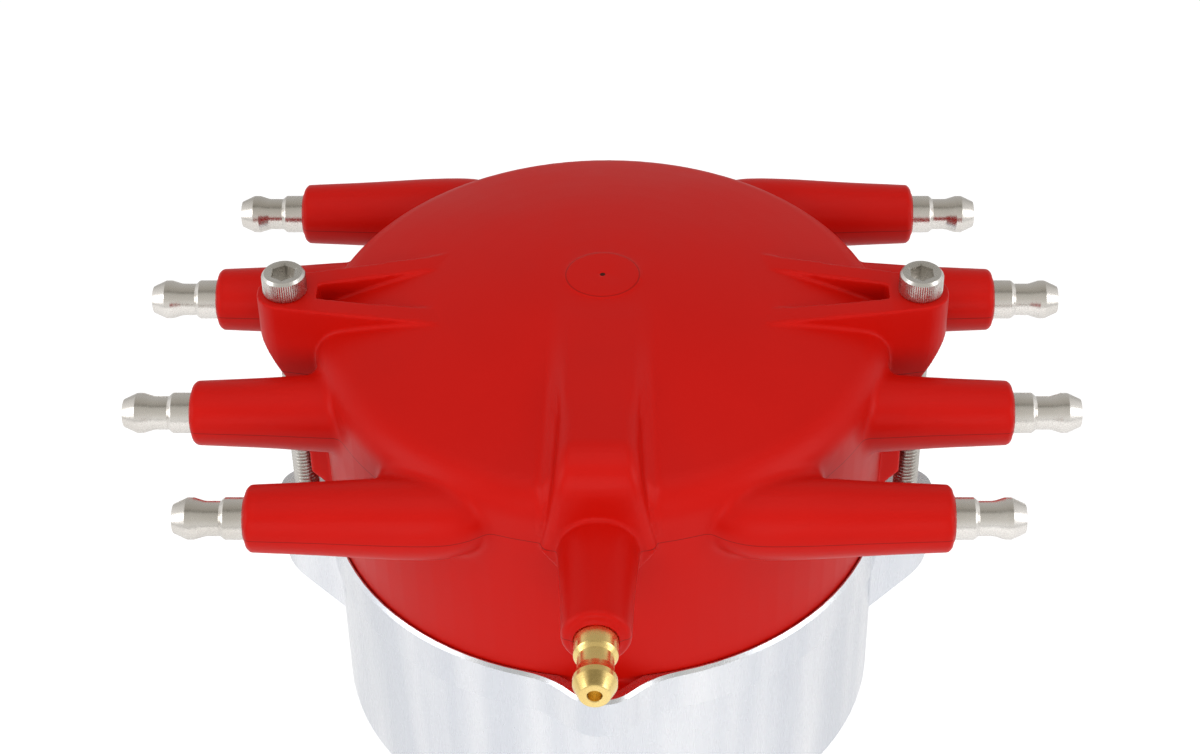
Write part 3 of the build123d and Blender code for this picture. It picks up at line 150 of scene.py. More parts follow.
def makeStudio():
    world = bpy.data.worlds.new("studioWorld")
    bpy.context.scene.world = world
    world.use_nodes = True
    tree = world.node_tree
    tree.nodes.clear()
    path = addNode(tree, "ShaderNodeLightPath")
    mirrored = addNode(tree, "ShaderNodeMath", {"operation": "MAXIMUM"},
                       {0: path.outputs["Is Glossy Ray"], 1: path.outputs["Is Transmission Ray"]})
    way = addNode(tree, "ShaderNodeTexCoord").outputs["Generated"]
    way = addNode(tree, "ShaderNodeSeparateXYZ", {}, {0: way})
    height = addNode(tree, "ShaderNodeMath", {"operation": "ABSOLUTE"}, {0: way.outputs["Z"]})
    turn = addNode(tree, "ShaderNodeMath", {"operation": "ARCTAN2"},
                   {0: height.outputs[0], 1: way.outputs["Y"]})
    share = addNode(tree, "ShaderNodeMath", {"operation": "DIVIDE", 1: math.pi}, {0: turn.outputs[0]})
    room = addRamp(tree, studio["roomShades"], share.outputs[0])
    side = addNode(tree, "ShaderNodeMath", {"operation": "ABSOLUTE"}, {0: way.outputs["X"]})
    side = addNode(tree, "ShaderNodeMapRange", {"From Min": studio["sideFrom"], "From Max": studio["sideTo"]},
                   {"Value": side.outputs[0]})
    shade = addNode(tree, "ShaderNodeMix", {"data_type": "RGBA", 7: (1, 1, 1, 1)},
                    {0: side.outputs[0], 6: room.outputs[0]})
    lit = addNode(tree, "ShaderNodeBackground", {"Color": (1, 1, 1, 1), "Strength": studio["roomStrength"]})
    walls = addNode(tree, "ShaderNodeBackground", {"Strength": 1.0}, {"Color": shade.outputs[2]})
    white = addNode(tree, "ShaderNodeBackground", {"Color": (1, 1, 1, 1), "Strength": 1.0})
    mix = addNode(tree, "ShaderNodeMixShader", {},
                  {0: mirrored.outputs[0], 1: lit.outputs[0], 2: walls.outputs[0]})
    mix = addNode(tree, "ShaderNodeMixShader", {},
                  {0: path.outputs["Is Camera Ray"], 1: mix.outputs[0], 2: white.outputs[0]})
    addNode(tree, "ShaderNodeOutputWorld", {}, {"Surface": mix.outputs[0]})

    material, tree = startMaterial("whitePaperSweep")  # matt paper: soft shadow, no shine
    path = addNode(tree, "ShaderNodeLightPath")
    mirrored = addNode(tree, "ShaderNodeMath", {"operation": "MAXIMUM"},
                       {0: path.outputs["Is Glossy Ray"], 1: path.outputs["Is Transmission Ray"]})
    mirrored = addNode(tree, "ShaderNodeMath", {"operation": "MULTIPLY", 1: studio["mirroredGlow"]},
                       {0: mirrored.outputs[0]})
    seen = addNode(tree, "ShaderNodeMath", {"operation": "MULTIPLY", 1: studio["floorGlow"]},
                   {0: path.outputs["Is Camera Ray"]})
    diffuse = addNode(tree, "ShaderNodeBsdfDiffuse", {"Color": linearColour(studio["floorWhite"])})
    glow = addNode(tree, "ShaderNodeEmission", {"Color": (1, 1, 1, 1)})
    strength = addNode(tree, "ShaderNodeMath", {"operation": "MAXIMUM"},
                       {0: seen.outputs[0], 1: mirrored.outputs[0]})
    tree.links.new(strength.outputs[0], glow.inputs["Strength"])
    both = addNode(tree, "ShaderNodeAddShader", {}, {0: diffuse.outputs[0], 1: glow.outputs[0]})
    finishMaterial(tree, both)

    mesh = bpy.data.meshes.new("floor")
    form = bmesh.new()
    bmesh.ops.create_grid(form, x_segments=2, y_segments=2, size=studio["floorReach"])
    bmesh.ops.translate(form, verts=form.verts, vec=(0, 0, studio["floorLevel"]))
    form.to_mesh(mesh)
    form.free()
    floor = bpy.data.objects.new("floor", mesh)
    bpy.context.scene.collection.objects.link(floor)
    mesh.materials.append(material)

    for name, place, target, size, power, mirrored in studio["lamps"]:
        lamp = bpy.data.lights.new(name, "AREA")
        lamp.shape = "RECTANGLE"
        lamp.size, lamp.size_y = size
        lamp.energy = power
        holder = bpy.data.objects.new(name, lamp)
        bpy.context.scene.collection.objects.link(holder)
        holder.location = place
        holder.visible_glossy = mirrored
        aim = Vector(target) - Vector(place)
        holder.rotation_euler = aim.to_track_quat("-Z", "Y").to_euler()


makeStudio()
print("studio ready")

# Materials
noiseFrom, noiseTo = 0.3, 0.7  # the part of a noise that moves the roughness
grainDepth = 0.0003  # how far a moulded grain stands out, in metres

# the darker line red colours both the mould's parting line and a ring of painted edge shade round the gate's disc
polyester = {"red": "C41006", "deepRed": "BA0E05", "lineAndEdgeShadeRed": "7E0E08", "nibBrown": "4A1810",
             "roughness": 0.4, "smoother": 0.04, "rougher": 0.05, "gloss": 0.1, "ior": 1.54,
             "grainMm": 0.35, "mottleMm": 16.0, "grainBump": 0.05,
             "partingLevel": 0.094, "partingHalf": 0.00006, "discRadius": 0.0058, "discHalf": 0.0001,
             "discShadeShare": 0.6, "nibRadius": 0.00042}


def makePolyester():
    # Glass-filled polyester, compression moulded: satin skin, faint flow mottling, the mould's parting line,
    # the broken nib of the gate in the middle of the dome, and a thin darker ring of painted edge shade over the
    # flash line at the edge of the gate's raised disc
    material, tree = startMaterial("glassFilledPolyester")
    place = addNode(tree, "ShaderNodeTexCoord").outputs["Object"]
    mottle = addNode(tree, "ShaderNodeTexNoise", {"Scale": 1000 / polyester["mottleMm"], "Detail": 4.0},
                     {"Vector": place})
    grain = addNode(tree, "ShaderNodeTexNoise", {"Scale": 1000 / polyester["grainMm"], "Detail": 3.0},
                    {"Vector": place})
    colour = addNode(tree, "ShaderNodeMix", {"data_type": "RGBA"}, {"Factor": mottle.outputs[0]})
    colour.inputs[6].default_value = linearColour(polyester["deepRed"])
    colour.inputs[7].default_value = linearColour(polyester["red"])
    level = addNode(tree, "ShaderNodeSeparateXYZ", {}, {0: place})
    line = addNode(tree, "ShaderNodeMath", {"operation": "COMPARE", 1: polyester["partingLevel"],
                                            2: polyester["partingHalf"]}, {0: level.outputs["Z"]})
    flat = addNode(tree, "ShaderNodeVectorMath", {"operation": "MULTIPLY", 1: (1, 1, 0)}, {0: place})
    across = addNode(tree, "ShaderNodeVectorMath", {"operation": "LENGTH"}, {0: flat.outputs[0]})
    across = across.outputs["Value"]
    # the ring at the disc's edge is painted edge shade, laid over the disc's flash line
    ring = addNode(tree, "ShaderNodeMath", {"operation": "COMPARE", 1: polyester["discRadius"],
                                            2: polyester["discHalf"]}, {0: across})
    ring = addNode(tree, "ShaderNodeMath", {"operation": "MULTIPLY", 1: polyester["discShadeShare"]},
                   {0: ring.outputs[0]})
    nib = addNode(tree, "ShaderNodeMath", {"operation": "LESS_THAN", 1: polyester["nibRadius"]}, {0: across})
    marks = addNode(tree, "ShaderNodeMath", {"operation": "MAXIMUM"},
                    {0: line.outputs[0], 1: ring.outputs[0]})
    lined = addNode(tree, "ShaderNodeMix", {"data_type": "RGBA", 7: linearColour(polyester["lineAndEdgeShadeRed"])},
                    {0: marks.outputs[0], 6: colour.outputs[2]})
    lined = addNode(tree, "ShaderNodeMix", {"data_type": "RGBA", 7: linearColour(polyester["nibBrown"])},
                    {0: nib.outputs[0], 6: lined.outputs[2]})
    rough = addNode(tree, "ShaderNodeMapRange",
                    {"From Min": noiseFrom, "From Max": noiseTo,
                     "To Min": polyester["roughness"] - polyester["smoother"],
                     "To Max": polyester["roughness"] + polyester["rougher"]}, {"Value": mottle.outputs[0]})
    bump = addNode(tree, "ShaderNodeBump", {"Strength": polyester["grainBump"], "Distance": grainDepth},
                   {"Height": grain.outputs[0]})
    shader = addNode(tree, "ShaderNodeBsdfPrincipled",
                     {"IOR": polyester["ior"], "Specular IOR Level": polyester["gloss"]},
                     {"Base Color": lined.outputs[2], "Roughness": rough.outputs[0],
                      "Normal": bump.outputs[0]})
    finishMaterial(tree, shader)
    return material


# colour, darker drift, roughness, distance between tool marks in mm, strength of the marks
metalRows = {
    "turnedAluminium": ("E9EAED", "D6D9DF", 0.26, 0.5, 0.015),  # lathe-turned aluminium: pale, satin, faint upright streaks of painted reflection
    "brightTurnedTerminal": ("E4E0DB", "D4CFC8", 0.26, 0.4, 0.05),  # turned and plated: bright grey, soft bands of light
    "turnedBrass": ("F8E09A", "EBCB80", 0.25, 0.4, 0.05),  # turned brass: warm yellow, soft bands of light
    "stainlessScrew": ("DAD7D2", "C2BEB8", 0.28, 0.3, 0.05),  # rolled stainless steel: clean grey, dull shine
    "groundSteel": ("BDBEC0", "ADAEB0", 0.25, 0.3, 0.04),  # ground steel: even grey, tight shine
    "sinteredBronze": ("A87B4F", "936640", 0.45, 0.6, 0.1),  # pressed powder bronze: brown, dull and grainy
    "platedSheetSteel": ("C8C2AE", "B8B098", 0.35, 2.0, 0.04),  # pressed and zinc plated: yellowish grey, flat shine
    "oiledCastIron": ("77767A", "626166", 0.38, 1.0, 0.08),  # hobbed cast iron, oiled: dark grey, wet shine
    "drawnSpringWire": ("A8A8AA", "8F8F92", 0.32, 0.5, 0.04),  # drawn wire: mid grey, shine along the wire
}
metalSurface = {"driftMm": 16.0, "upright": 1.0, "driftFrom": 0.35, "driftTo": 0.65, "smoother": 0.03,
                "rougher": 0.05, "markDepth": 0.0002}
aluminiumReflectionStreaks = {"driftMm": 9.0, "upright": 0.08}  # the big housing gets narrow upright streaks of painted reflection


def makeMetal(name):
    # Turned or drawn metal: fine tool marks shown coarser than the real 0.1 mm feed, a little colour drift
    bright, darker, roughness, grooveMm, bumpStrength = metalRows[name]
    # on the housing the colour drift is stretched upright into streaks of painted reflection; on the other metals it
    # is random tone
    streaks = aluminiumReflectionStreaks if name == "turnedAluminium" else metalSurface
    material, tree = startMaterial(name)
    place = addNode(tree, "ShaderNodeTexCoord").outputs["Object"]
    stretched = addNode(tree, "ShaderNodeMapping", {"Scale": (1, 1, streaks["upright"])}, {"Vector": place})
    drift = addNode(tree, "ShaderNodeTexNoise", {"Scale": 1000 / streaks["driftMm"], "Detail": 3.0},
                    {"Vector": stretched.outputs[0]})
    marks = addNode(tree, "ShaderNodeTexNoise", {"Scale": 1000 / grooveMm, "Detail": 2.0},
                    {"Vector": stretched.outputs[0]})
    spread = addNode(tree, "ShaderNodeMapRange",
                     {"From Min": metalSurface["driftFrom"], "From Max": metalSurface["driftTo"]},
                     {"Value": drift.outputs[0]})
    colour = addNode(tree, "ShaderNodeMix", {"data_type": "RGBA"}, {"Factor": spread.outputs[0]})
    colour.inputs[6].default_value = linearColour(darker)
    colour.inputs[7].default_value = linearColour(bright)
    rough = addNode(tree, "ShaderNodeMapRange",
                    {"From Min": noiseFrom, "From Max": noiseTo,
                     "To Min": roughness - metalSurface["smoother"],
                     "To Max": roughness + metalSurface["rougher"]}, {"Value": marks.outputs[0]})
    bump = addNode(tree, "ShaderNodeBump", {"Strength": bumpStrength, "Distance": metalSurface["markDepth"]},
                   {"Height": marks.outputs[0]})
    shader = addNode(tree, "ShaderNodeBsdfPrincipled", {"Metallic": 1.0},
                     {"Base Color": colour.outputs[2], "Roughness": rough.outputs[0],
                      "Normal": bump.outputs[0]})
    finishMaterial(tree, shader)
    return material


# colour, lighter fleck, roughness, grain in mm, strength of the grain, refraction
plasticRows = {
    "mouldedNylon": ("1A1A1C", "232326", 0.5, 0.4, 0.08, 1.53),  # injection moulded nylon: black, soft sheen
    "mouldedPhenolic": ("1E1A1A", "2A2422", 0.4, 0.3, 0.06, 1.6),  # compression moulded phenolic: brown black, some gloss
    "nitrileRubber": ("0E0E0F", "171718", 0.6, 0.3, 0.08, 1.52),  # moulded rubber: deep black, hardly any shine
    "pressedFibre": ("4A5158", "5B636B", 0.85, 0.6, 0.3, 1.45),  # pressed gasket fibre: blue grey, matt and felted
    "pressedCarbon": ("161617", "212122", 0.55, 0.25, 0.2, 1.8),  # pressed carbon: black, matt, fine grit
}


def makePlastic(name):
    # Moulded or pressed dark stuff: satin skin with a fine grain
    dark, lighter, roughness, grainMm, bumpStrength, ior = plasticRows[name]
    material, tree = startMaterial(name)
    place = addNode(tree, "ShaderNodeTexCoord").outputs["Object"]
    grain = addNode(tree, "ShaderNodeTexNoise", {"Scale": 1000 / grainMm, "Detail": 3.0}, {"Vector": place})
    colour = addNode(tree, "ShaderNodeMix", {"data_type": "RGBA"}, {"Factor": grain.outputs[0]})
    colour.inputs[6].default_value = linearColour(dark)
    colour.inputs[7].default_value = linearColour(lighter)
    bump = addNode(tree, "ShaderNodeBump", {"Strength": bumpStrength, "Distance": grainDepth},
                   {"Height": grain.outputs[0]})
    shader = addNode(tree, "ShaderNodeBsdfPrincipled", {"Roughness": roughness, "IOR": ior},
                     {"Base Color": colour.outputs[2], "Normal": bump.outputs[0]})
    finishMaterial(tree, shader)
    return material


materials = {"glassFilledPolyester": makePolyester()}
for name in metalRows:
    materials[name] = makeMetal(name)
for name in plasticRows:
    materials[name] = makePlastic(name)
print("materials ready")

# Which finish each piece of the assembly has
finishes = {
    "glassFilledPolyester": ["distributor_cap"],
    "turnedAluminium": ["housing"],
    "brightTurnedTerminal": ["plug_terminal_%d" % n for n in range(1, 9)],
    "turnedBrass": ["coil_terminal", "connector_contacts", "rotor_segment", "rotor_leaf"],
    "stainlessScrew": ["cap_screws", "pickup_screws", "rotor_screws"],
    "groundSteel": ["coil_lead", "main_shaft", "bearing_outer_race", "bearing_inner_race", "bearing_balls",
                    "reluctor", "pole_piece", "weight_pins"],
    "sinteredBronze": ["lower_bushing"],
    "platedSheetSteel": ["pickup_bracket", "advance_base", "advance_weight_1", "advance_weight_2",
                         "cam_plate", "thrust_washers"],
    "oiledCastIron": ["drive_gear"],
    "drawnSpringWire": ["button_spring", "advance_spring_1", "advance_spring_2", "weight_clips",
                        "retaining_ring", "roll_pin"],
    "mouldedNylon": ["pickup", "connector"],
    "mouldedPhenolic": ["rotor"],
    "nitrileRubber": ["stem_seal", "pickup_leads"],
    "pressedFibre": ["flange_gasket"],
    "pressedCarbon": ["carbon_button"],
}
weld = 2e-6  # corners nearer than this are one, in metres
finishOf = {member: finish for finish, members in finishes.items() for member in members}


def placePiece(name, form, node, bridge=None):
    # Makes an object of a bmesh in place of a CAD node; it rides its node's body, or, given a bridge, is left free
    # with its place baked in
    mesh = bpy.data.meshes.new(name)
    form.to_mesh(mesh)
    form.free()
    piece = bpy.data.objects.new(name, mesh)
    bpy.context.scene.collection.objects.link(piece)
    mesh.materials.append(materials[finishOf[node]])
    if bridge:
        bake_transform(piece)
    else:
        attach(piece, nodes[node]["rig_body"])
    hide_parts(node)
    return piece


def markSharp(form, degrees):
    for face in form.faces:
        face.smooth = True
    for edge in form.edges:
        edge.smooth = len(edge.link_faces) == 2 and edge.calc_face_angle(0) < math.radians(degrees)


def mergedCopy(node):
    form = bmesh.new()
    form.from_mesh(nodes[node].data)
    bmesh.ops.remove_doubles(form, verts=form.verts, dist=weld)
    return form


def smoothNode(node, degrees=28, bridge=None):
    form = mergedCopy(node)
    markSharp(form, degrees)
    return placePiece(node + "_skin", form, node, bridge)


# Cap: the moulded skin, with every inner corner softened as a mould leaves it. The rib is the raised bar that
# carries the coil's lead, from the gate's disc in the middle of the dome to the coil tower
capSkin = {"voxelMm": 0.3, "passes": 2, "triangles": 190000, "blendMm": 2.7, "blendShare": 0.8,
           "flankTopMm": 5.65, "flankLean": 3.05 / 16, "topMm": 110.0, "domeRadiusMm": 138.0,
           "edgeRoundMm": 6.0, "skirtRadiusMm": 45.9, "partingMm": 94.0, "frontMm": 46.6,
           "frontRoundMm": 6.5, "softMm": 2.0, "fadeMm": 4.0, "sideMm": 13, "backMm": 3, "outerMm": 0.3,
           "wallMm": 0.5, "leastMm": 0.1, "deepestMm": 1, "discMm": 6.0, "riseFromMm": 2.0, "riseMm": 10.0,
           "shoulderFromMm": 4.7, "shoulderMm": 3.8, "swellToMm": 36.0, "swellFadeMm": 10.0}


def remeshed(piece, voxel):
    modifier = piece.modifiers.new("skin", "REMESH")
    modifier.mode = "VOXEL"
    modifier.voxel_size = voxel
    mesh = bpy.data.meshes.new_from_object(piece.evaluated_get(bpy.context.evaluated_depsgraph_get()))
    piece.modifiers.clear()
    return mesh


def domeDistance(place):
    # How far a point is outside the cap's turned form, and the way out, in millimetres
    centre = Vector((0.0, capSkin["topMm"] - capSkin["domeRadiusMm"]))
    across = capSkin["skirtRadiusMm"] - capSkin["edgeRoundMm"]
    inner = capSkin["domeRadiusMm"] - capSkin["edgeRoundMm"]
    knuckle = Vector((across, centre.y + math.sqrt(inner ** 2 - across ** 2)))
    spot = Vector((math.hypot(place.x, place.y), place.z))
    if (spot - knuckle).cross(knuckle - centre) > 0 and spot.y > knuckle.y:
        away, reach = spot - knuckle, capSkin["edgeRoundMm"]
    elif spot.y > knuckle.y:
        away, reach = spot - centre, capSkin["domeRadiusMm"]
    else:
        away, reach = Vector((spot.x, 0.0)), capSkin["skirtRadiusMm"]
    outward = away.normalized()
    way = Vector((outward.x * place.x / spot.x, outward.x * place.y / spot.x, outward.y))
    return away.length - reach, way


def ribTopDistance(place):
    # How far a point is outside the raised rib's top and rounded front, and the way out, in millimetres
    bend = capSkin["frontRoundMm"]
    knee = Vector((bend - capSkin["frontMm"], capSkin["topMm"] - bend))
    spot = Vector((place.y, place.z))
    if spot.x < knee.x and spot.y > knee.y:
        away = spot - knee
        return away.length - bend, Vector((0, away.x, away.y)).normalized()
    if spot.y > knee.y:
        return spot.y - capSkin["topMm"], Vector((0, 0, 1))
    return -spot.x - capSkin["frontMm"], Vector((0, -1, 0))


def softShare(value):
    value = max(0.0, min(1.0, value))
    return value * value * (3 - 2 * value)


def swellRib(place):
    # Where a point goes near the rib's beginning, so that the rib swells out of the dome in one soft curve
    top, radius, lean = capSkin["topMm"], capSkin["domeRadiusMm"], capSkin["flankLean"]
    begin, wide = capSkin["shoulderFromMm"], capSkin["shoulderMm"]

    def domeLevel(across):
        return top - radius + math.sqrt(radius ** 2 - across ** 2 - place.y ** 2)

    depth = top - domeLevel(capSkin["flankTopMm"])
    slack = (1 - lean) * depth
    along = abs(place.x) + (1 - lean) * max(0.0, min(depth, top - place.z))
    if along <= begin:
        across = along
    elif along < begin + wide + slack:
        across = begin + (along - begin) * wide / (wide + slack)
    else:
        across = along - slack
    rise = softShare((-place.y - capSkin["riseFromMm"]) / capSkin["riseMm"])
    level = domeLevel(across)
    level += (top - level) * rise * (1 - softShare((across - begin) / wide))
    return Vector((math.copysign(across, place.x), place.y, level))


def softenCorner(place):
    # Where a point goes as the rib's top edge is rounded and its foot runs out in a hollow corner
    lean = capSkin["flankLean"]
    width = abs(place.x) - capSkin["flankTopMm"] - (capSkin["topMm"] - place.z) * lean
    flank = width / math.hypot(1, lean)
    flankOut = Vector((math.copysign(1, place.x), 0, lean)).normalized()
    crown, crownOut = ribTopDistance(place)
    soft = capSkin["softMm"]
    away = math.hypot(soft + flank, soft + crown)
    outer = capSkin["outerMm"]
    if -soft < flank < outer and -soft < crown < outer and away > soft:
        return place + (flankOut * (soft + flank) + crownOut * (soft + crown)) * (soft / away - 1)
    dome, domeOut = domeDistance(place)
    depth = capSkin["topMm"] - (place.z - dome)
    radius = min(capSkin["blendMm"], capSkin["blendShare"] * depth)
    radius *= min(1, (place.y + capSkin["frontMm"]) / capSkin["fadeMm"])
    radius *= min(1, (place.z - capSkin["partingMm"]) / capSkin["fadeMm"])
    deepest = -capSkin["deepestMm"]
    if radius < capSkin["leastMm"] or flank > radius or dome > radius or min(flank, dome) < deepest:
        return place
    away = math.hypot(radius - flank, radius - dome)
    if away <= radius:
        return place
    return place + (flankOut * (flank - radius) + domeOut * (dome - radius)) * (radius / away - 1)


def blendConduit(form):
    # The raised rib swells softly out of the dome, and further on it has a hollow corner down each flank
    for vert in form.verts:
        place = vert.co * 1000
        if not -capSkin["frontMm"] <= place.y <= capSkin["backMm"]:
            continue
        if place.z < capSkin["partingMm"] or abs(place.x) > capSkin["sideMm"]:
            continue
        swell = softShare((place.y + capSkin["swellToMm"]) / capSkin["swellFadeMm"])
        if swell == 0:
            vert.co = softenCorner(place) / 1000
            continue
        outside = domeDistance(place)[0]
        if math.hypot(place.x, place.y) > capSkin["discMm"] and outside > -capSkin["wallMm"]:
            vert.co = softenCorner(place).lerp(swellRib(place), swell) / 1000


def makeCap():
    source = bpy.data.objects.new("capSource", bpy.data.meshes.new("capSource"))
    bpy.context.scene.collection.objects.link(source)
    form = mergedCopy("distributor_cap")
    form.to_mesh(source.data)
    form.free()
    mesh = remeshed(source, capSkin["voxelMm"] / 1000)
    bpy.data.objects.remove(source)
    form = bmesh.new()
    form.from_mesh(mesh)
    bpy.data.meshes.remove(mesh)
    print("cap remeshed:", len(form.faces), "faces")
    blendConduit(form)
    for turn in range(capSkin["passes"]):
        bmesh.ops.smooth_vert(form, verts=form.verts, factor=0.5, use_axis_x=True, use_axis_y=True,
                              use_axis_z=True)
    for face in form.faces:
        face.smooth = True
    piece = placePiece("cap_skin", form, "distributor_cap")
    piece.data.calc_loop_triangles()
    thin = piece.modifiers.new("thin", "DECIMATE")
    thin.ratio = min(1.0, capSkin["triangles"] / len(piece.data.loop_triangles))
    bpy.context.view_layer.update()
    mesh = bpy.data.meshes.new_from_object(piece.evaluated_get(bpy.context.evaluated_depsgraph_get()))
    piece.modifiers.clear()
    old = piece.data
    piece.data = mesh
    bpy.data.meshes.remove(old)
    print("cap skin ready:", len(mesh.polygons), "faces")


makeCap()

# Cap screws: knurled heads with a hexagon socket, and a cut thread down the shank
capScrew = {"placeMm": 50.3, "seatMm": 106.8, "headMm": 3.7, "headRadiusMm": 3.5, "knurlDepthMm": 0.14,
            "knurls": 60, "footMm": 0.25, "chamferMm": 0.45, "rimStepMm": 0.1, "socketAcrossMm": 3.57,
            "socketDepthMm": 2.0, "mouthShare": 1.32, "mouthMm": 0.18,
            "threadRadiusMm": 2.08, "threadRootMm": 1.68, "pitchMm": 0.7,
            "threadShares": (0, 0.4, 0.55, 0.95, 1.0), "endMm": 52.5, "turnSteps": 24, "weld": 2e-5,
            "sharp": 24}


def extrudeRing(form, edges, radiusAt, level):
    # Extrudes a ring of edges to a new ring at a level in mm, whose radius is a function of the angle
    grown = bmesh.ops.extrude_edge_only(form, edges=edges)["geom"]
    for vert in [part for part in grown if isinstance(part, bmesh.types.BMVert)]:
        angle = math.atan2(vert.co.y, vert.co.x)
        radius = radiusAt(angle) / 1000
        vert.co = (radius * math.cos(angle), radius * math.sin(angle), level / 1000)
    return [part for part in grown if isinstance(part, bmesh.types.BMEdge)]


def makeCapScrew():
    count = 2 * capScrew["knurls"]
    outer = capScrew["headRadiusMm"]
    foot = outer - capScrew["footMm"]
    rim = outer - capScrew["chamferMm"]
    top = capScrew["seatMm"] + capScrew["headMm"]
    half = capScrew["socketAcrossMm"] / 2

    def knurl(angle):
        return outer - capScrew["knurlDepthMm"] * (round(angle * count / math.tau) % 2)

    def hexagon(angle):
        return half / math.cos((angle + math.pi / 6) % (math.pi / 3) - math.pi / 6)

    form = bmesh.new()
    bmesh.ops.create_circle(form, cap_ends=True, segments=count, radius=foot / 1000)
    bmesh.ops.translate(form, verts=form.verts, vec=(0, 0, capScrew["seatMm"] / 1000))
    edges = [edge for edge in form.edges if edge.is_boundary]
    for radiusAt, level in ((knurl, capScrew["seatMm"] + capScrew["footMm"]),
                            (knurl, top - capScrew["chamferMm"] - capScrew["rimStepMm"]),
                            (lambda angle: outer - capScrew["rimStepMm"], top - capScrew["chamferMm"]),
                            (lambda angle: rim, top),
                            (lambda angle: half * capScrew["mouthShare"], top),
                            (hexagon, top - capScrew["mouthMm"]),
                            (hexagon, top - capScrew["socketDepthMm"])):
        edges = extrudeRing(form, edges, radiusAt, level)
    bmesh.ops.contextual_create(form, geom=edges)

    lowest = capScrew["endMm"] / 1000
    pitch = capScrew["pitchMm"] / 1000
    crest, root = capScrew["threadRadiusMm"] / 1000, capScrew["threadRootMm"] / 1000
    turns = int((capScrew["seatMm"] - capScrew["endMm"]) / capScrew["pitchMm"]) - 1
    profile = [form.verts.new((radius, 0, lowest + pitch * share))
               for radius, share in zip((root, crest, crest, root, root), capScrew["threadShares"])]
    edges = [form.edges.new(pair) for pair in zip(profile, profile[1:])]
    steps = capScrew["turnSteps"] * turns
    bmesh.ops.spin(form, geom=profile + edges, cent=(0, 0, 0), axis=(0, 0, 1),
                   dvec=(0, 0, pitch / capScrew["turnSteps"]), angle=math.tau * turns, steps=steps,
                   use_duplicate=False)
    bmesh.ops.remove_doubles(form, verts=form.verts, dist=capScrew["weld"])
    bmesh.ops.recalc_face_normals(form, faces=form.faces)
    markSharp(form, capScrew["sharp"])
    return form


def makeCapScrews():
    both = bmesh.new()
    for side in (-1, 1):
        form = makeCapScrew()
        bmesh.ops.translate(form, verts=form.verts, vec=(side * capScrew["placeMm"] / 1000, 0, 0))
        mesh = bpy.data.meshes.new("oneScrew")
        form.to_mesh(mesh)
        form.free()
        both.from_mesh(mesh)
        bpy.data.meshes.remove(mesh)
    placePiece("cap_screws_knurled", both, "cap_screws")


makeCapScrews()
print("cap screws ready")

# Housing: the rim and the ears with their edges broken, as they leave the lathe and the mill
housingEdges = {"rimMm": 66.5, "rimBreakMm": 0.55, "rimSegments": 1, "earMm": 66.0, "earBreakMm": 0.9,
                "earSegments": 4, "levelMm": 0.02, "flatFrom": 0.95, "wallTo": 0.1, "outward": 0.3,
                "coplanar": 0.1, "sharp": 24}


def breakEdges(form, levelMm, breakMm, segments):
    # Breaks the outer edges of the flat faces at a level: one segment is a chamfer, more are a round
    chosen = []
    for edge in form.edges:
        away = max(abs(vert.co.z * 1000 - levelMm) for vert in edge.verts)
        if len(edge.link_faces) != 2 or away > housingEdges["levelMm"]:
            continue
        flat, wall = sorted(edge.link_faces, key=lambda face: -face.normal.z)
        middle = (edge.verts[0].co + edge.verts[1].co) / 2
        outward = wall.normal.dot(middle.xy.to_3d().normalized())
        upright = abs(wall.normal.z) < housingEdges["wallTo"]
        if flat.normal.z > housingEdges["flatFrom"] and upright and outward > housingEdges["outward"]:
            chosen.append(edge)
    bmesh.ops.bevel(form, geom=chosen, offset=breakMm / 1000, segments=segments, profile=0.5,
                    affect="EDGES", material=-1, clamp_overlap=True)


def makeHousing():
    form = mergedCopy("housing")
    bmesh.ops.dissolve_limit(form, angle_limit=math.radians(housingEdges["coplanar"]), verts=form.verts,
                             edges=form.edges)
    breakEdges(form, housingEdges["rimMm"], housingEdges["rimBreakMm"], housingEdges["rimSegments"])
    breakEdges(form, housingEdges["earMm"], housingEdges["earBreakMm"], housingEdges["earSegments"])
    bmesh.ops.triangulate(form, faces=form.faces)
    markSharp(form, housingEdges["sharp"])
    placePiece("housing_machined", form, "housing")


makeHousing()
print("housing ready")

# Terminals: the turned ends outside the towers, as (distance from the tower, radius) in mm
terminalEnd = {"lengthMm": 11.0, "rootMm": -1.5, "steps": 72, "sharp": 9, "cutGap": 2e-5, "tipBand": 1e-5,
               "outline": [(-1.5, 0.0), (-1.5, 3.2), (3.2, 3.2), (3.45, 3.05), (3.9, 2.65), (6.0, 2.65),
                           (6.35, 2.7), (7.75, 3.13), (7.9, 3.175), (8.85, 3.175), (9.0, 3.12),
                           (10.75, 2.3), (10.93, 2.2), (11.0, 2.05)],
               "plainTip": [(11.0, 0.0)], "hollowTip": [(11.0, 1.15), (10.9, 1.05), (9.0, 1.05), (9.0, 0.0)]}


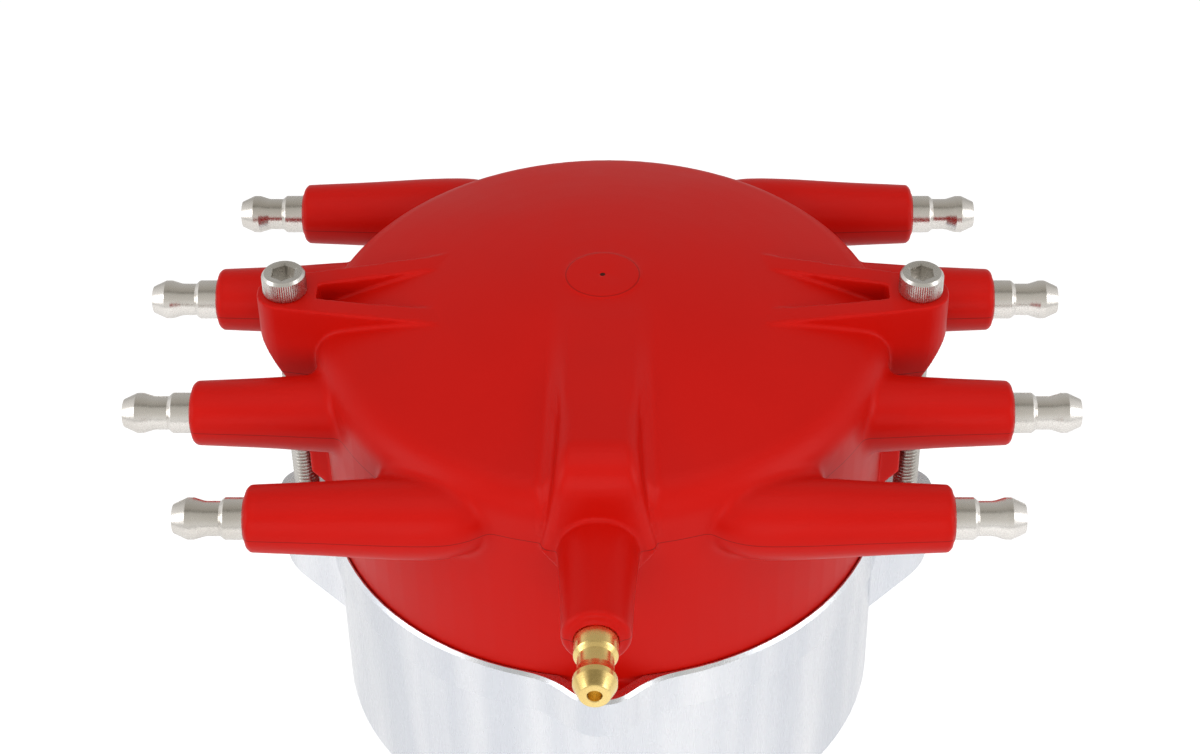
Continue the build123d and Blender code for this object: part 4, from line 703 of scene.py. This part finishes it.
def makeTerminal(node, tip):
    # The inner rod stays as it is; the outer end is spun fresh, with crisp turned edges
    form = mergedCopy(node)
    axis = 1 if node == "coil_terminal" else 0
    side = math.copysign(1, sum(vert.co[axis] for vert in form.verts))
    reach = max(vert.co[axis] * side for vert in form.verts)
    start = reach - terminalEnd["lengthMm"] / 1000
    cut = start + terminalEnd["rootMm"] / 1000 - terminalEnd["cutGap"]
    ends = [vert for vert in form.verts if vert.co[axis] * side > reach - terminalEnd["tipBand"]]
    middle = sum((vert.co for vert in ends), Vector()) / len(ends)
    outer = [vert for vert in form.verts if vert.co[axis] * side > cut]
    bmesh.ops.delete(form, geom=outer, context="VERTS")
    outward = Vector((side, 0, 0)) if axis == 0 else Vector((0, side, 0))
    base = middle + outward * (start - middle[axis] * side)
    profile = [form.verts.new(base + outward * (along / 1000) + Vector((0, 0, radius / 1000)))
               for along, radius in terminalEnd["outline"] + tip]
    edges = [form.edges.new(pair) for pair in zip(profile, profile[1:])]
    bmesh.ops.spin(form, geom=profile + edges, cent=base, axis=outward, dvec=(0, 0, 0), angle=math.tau,
                   steps=terminalEnd["steps"], use_merge=True, use_duplicate=False)
    bmesh.ops.remove_doubles(form, verts=form.verts, dist=weld)
    bmesh.ops.recalc_face_normals(form, faces=form.faces)
    markSharp(form, terminalEnd["sharp"])
    placePiece(node + "_turned", form, node)


plugTerminals = ["plug_terminal_%d" % n for n in range(1, 9)]
for node in plugTerminals:
    makeTerminal(node, terminalEnd["plainTip"])
makeTerminal("coil_terminal", terminalEnd["hollowTip"])
print("terminals ready")

# Springs: the two ends of each are worked out and handed on as a bridge; each spring keeps its form and is left free
# with its place baked in
springEnds = {"camPostMm": (-10.242, 5.446, 59.6), "weightPinMm": (0.0, 22.0, 59.6), "eyeShare": 0.13}


def bridgeSprings():
    post, pin = Vector(springEnds["camPostMm"]) / 1000, Vector(springEnds["weightPinMm"]) / 1000
    for node, turn in (("advance_spring_1", 0), ("advance_spring_2", math.pi)):
        spin = Matrix.Rotation(turn, 3, "Z")
        start = spin @ post.lerp(pin, springEnds["eyeShare"])
        end = spin @ pin.lerp(post, springEnds["eyeShare"])
        smoothNode(node, bridge=("shaft", "advance", start, end))
    low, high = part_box("button_spring")
    smoothNode("button_spring", bridge=("housing", "button", (0, 0, high[2]), (0, 0, low[2])))


bridgeSprings()
print("springs ready")

# Every other piece keeps its form, with smooth round faces
done = plugTerminals + ["distributor_cap", "cap_screws", "housing", "coil_terminal", "advance_spring_1",
                        "advance_spring_2", "button_spring"]
for node in sorted(nodes):
    if node not in done:
        smoothNode(node)
print("smooth skins ready")
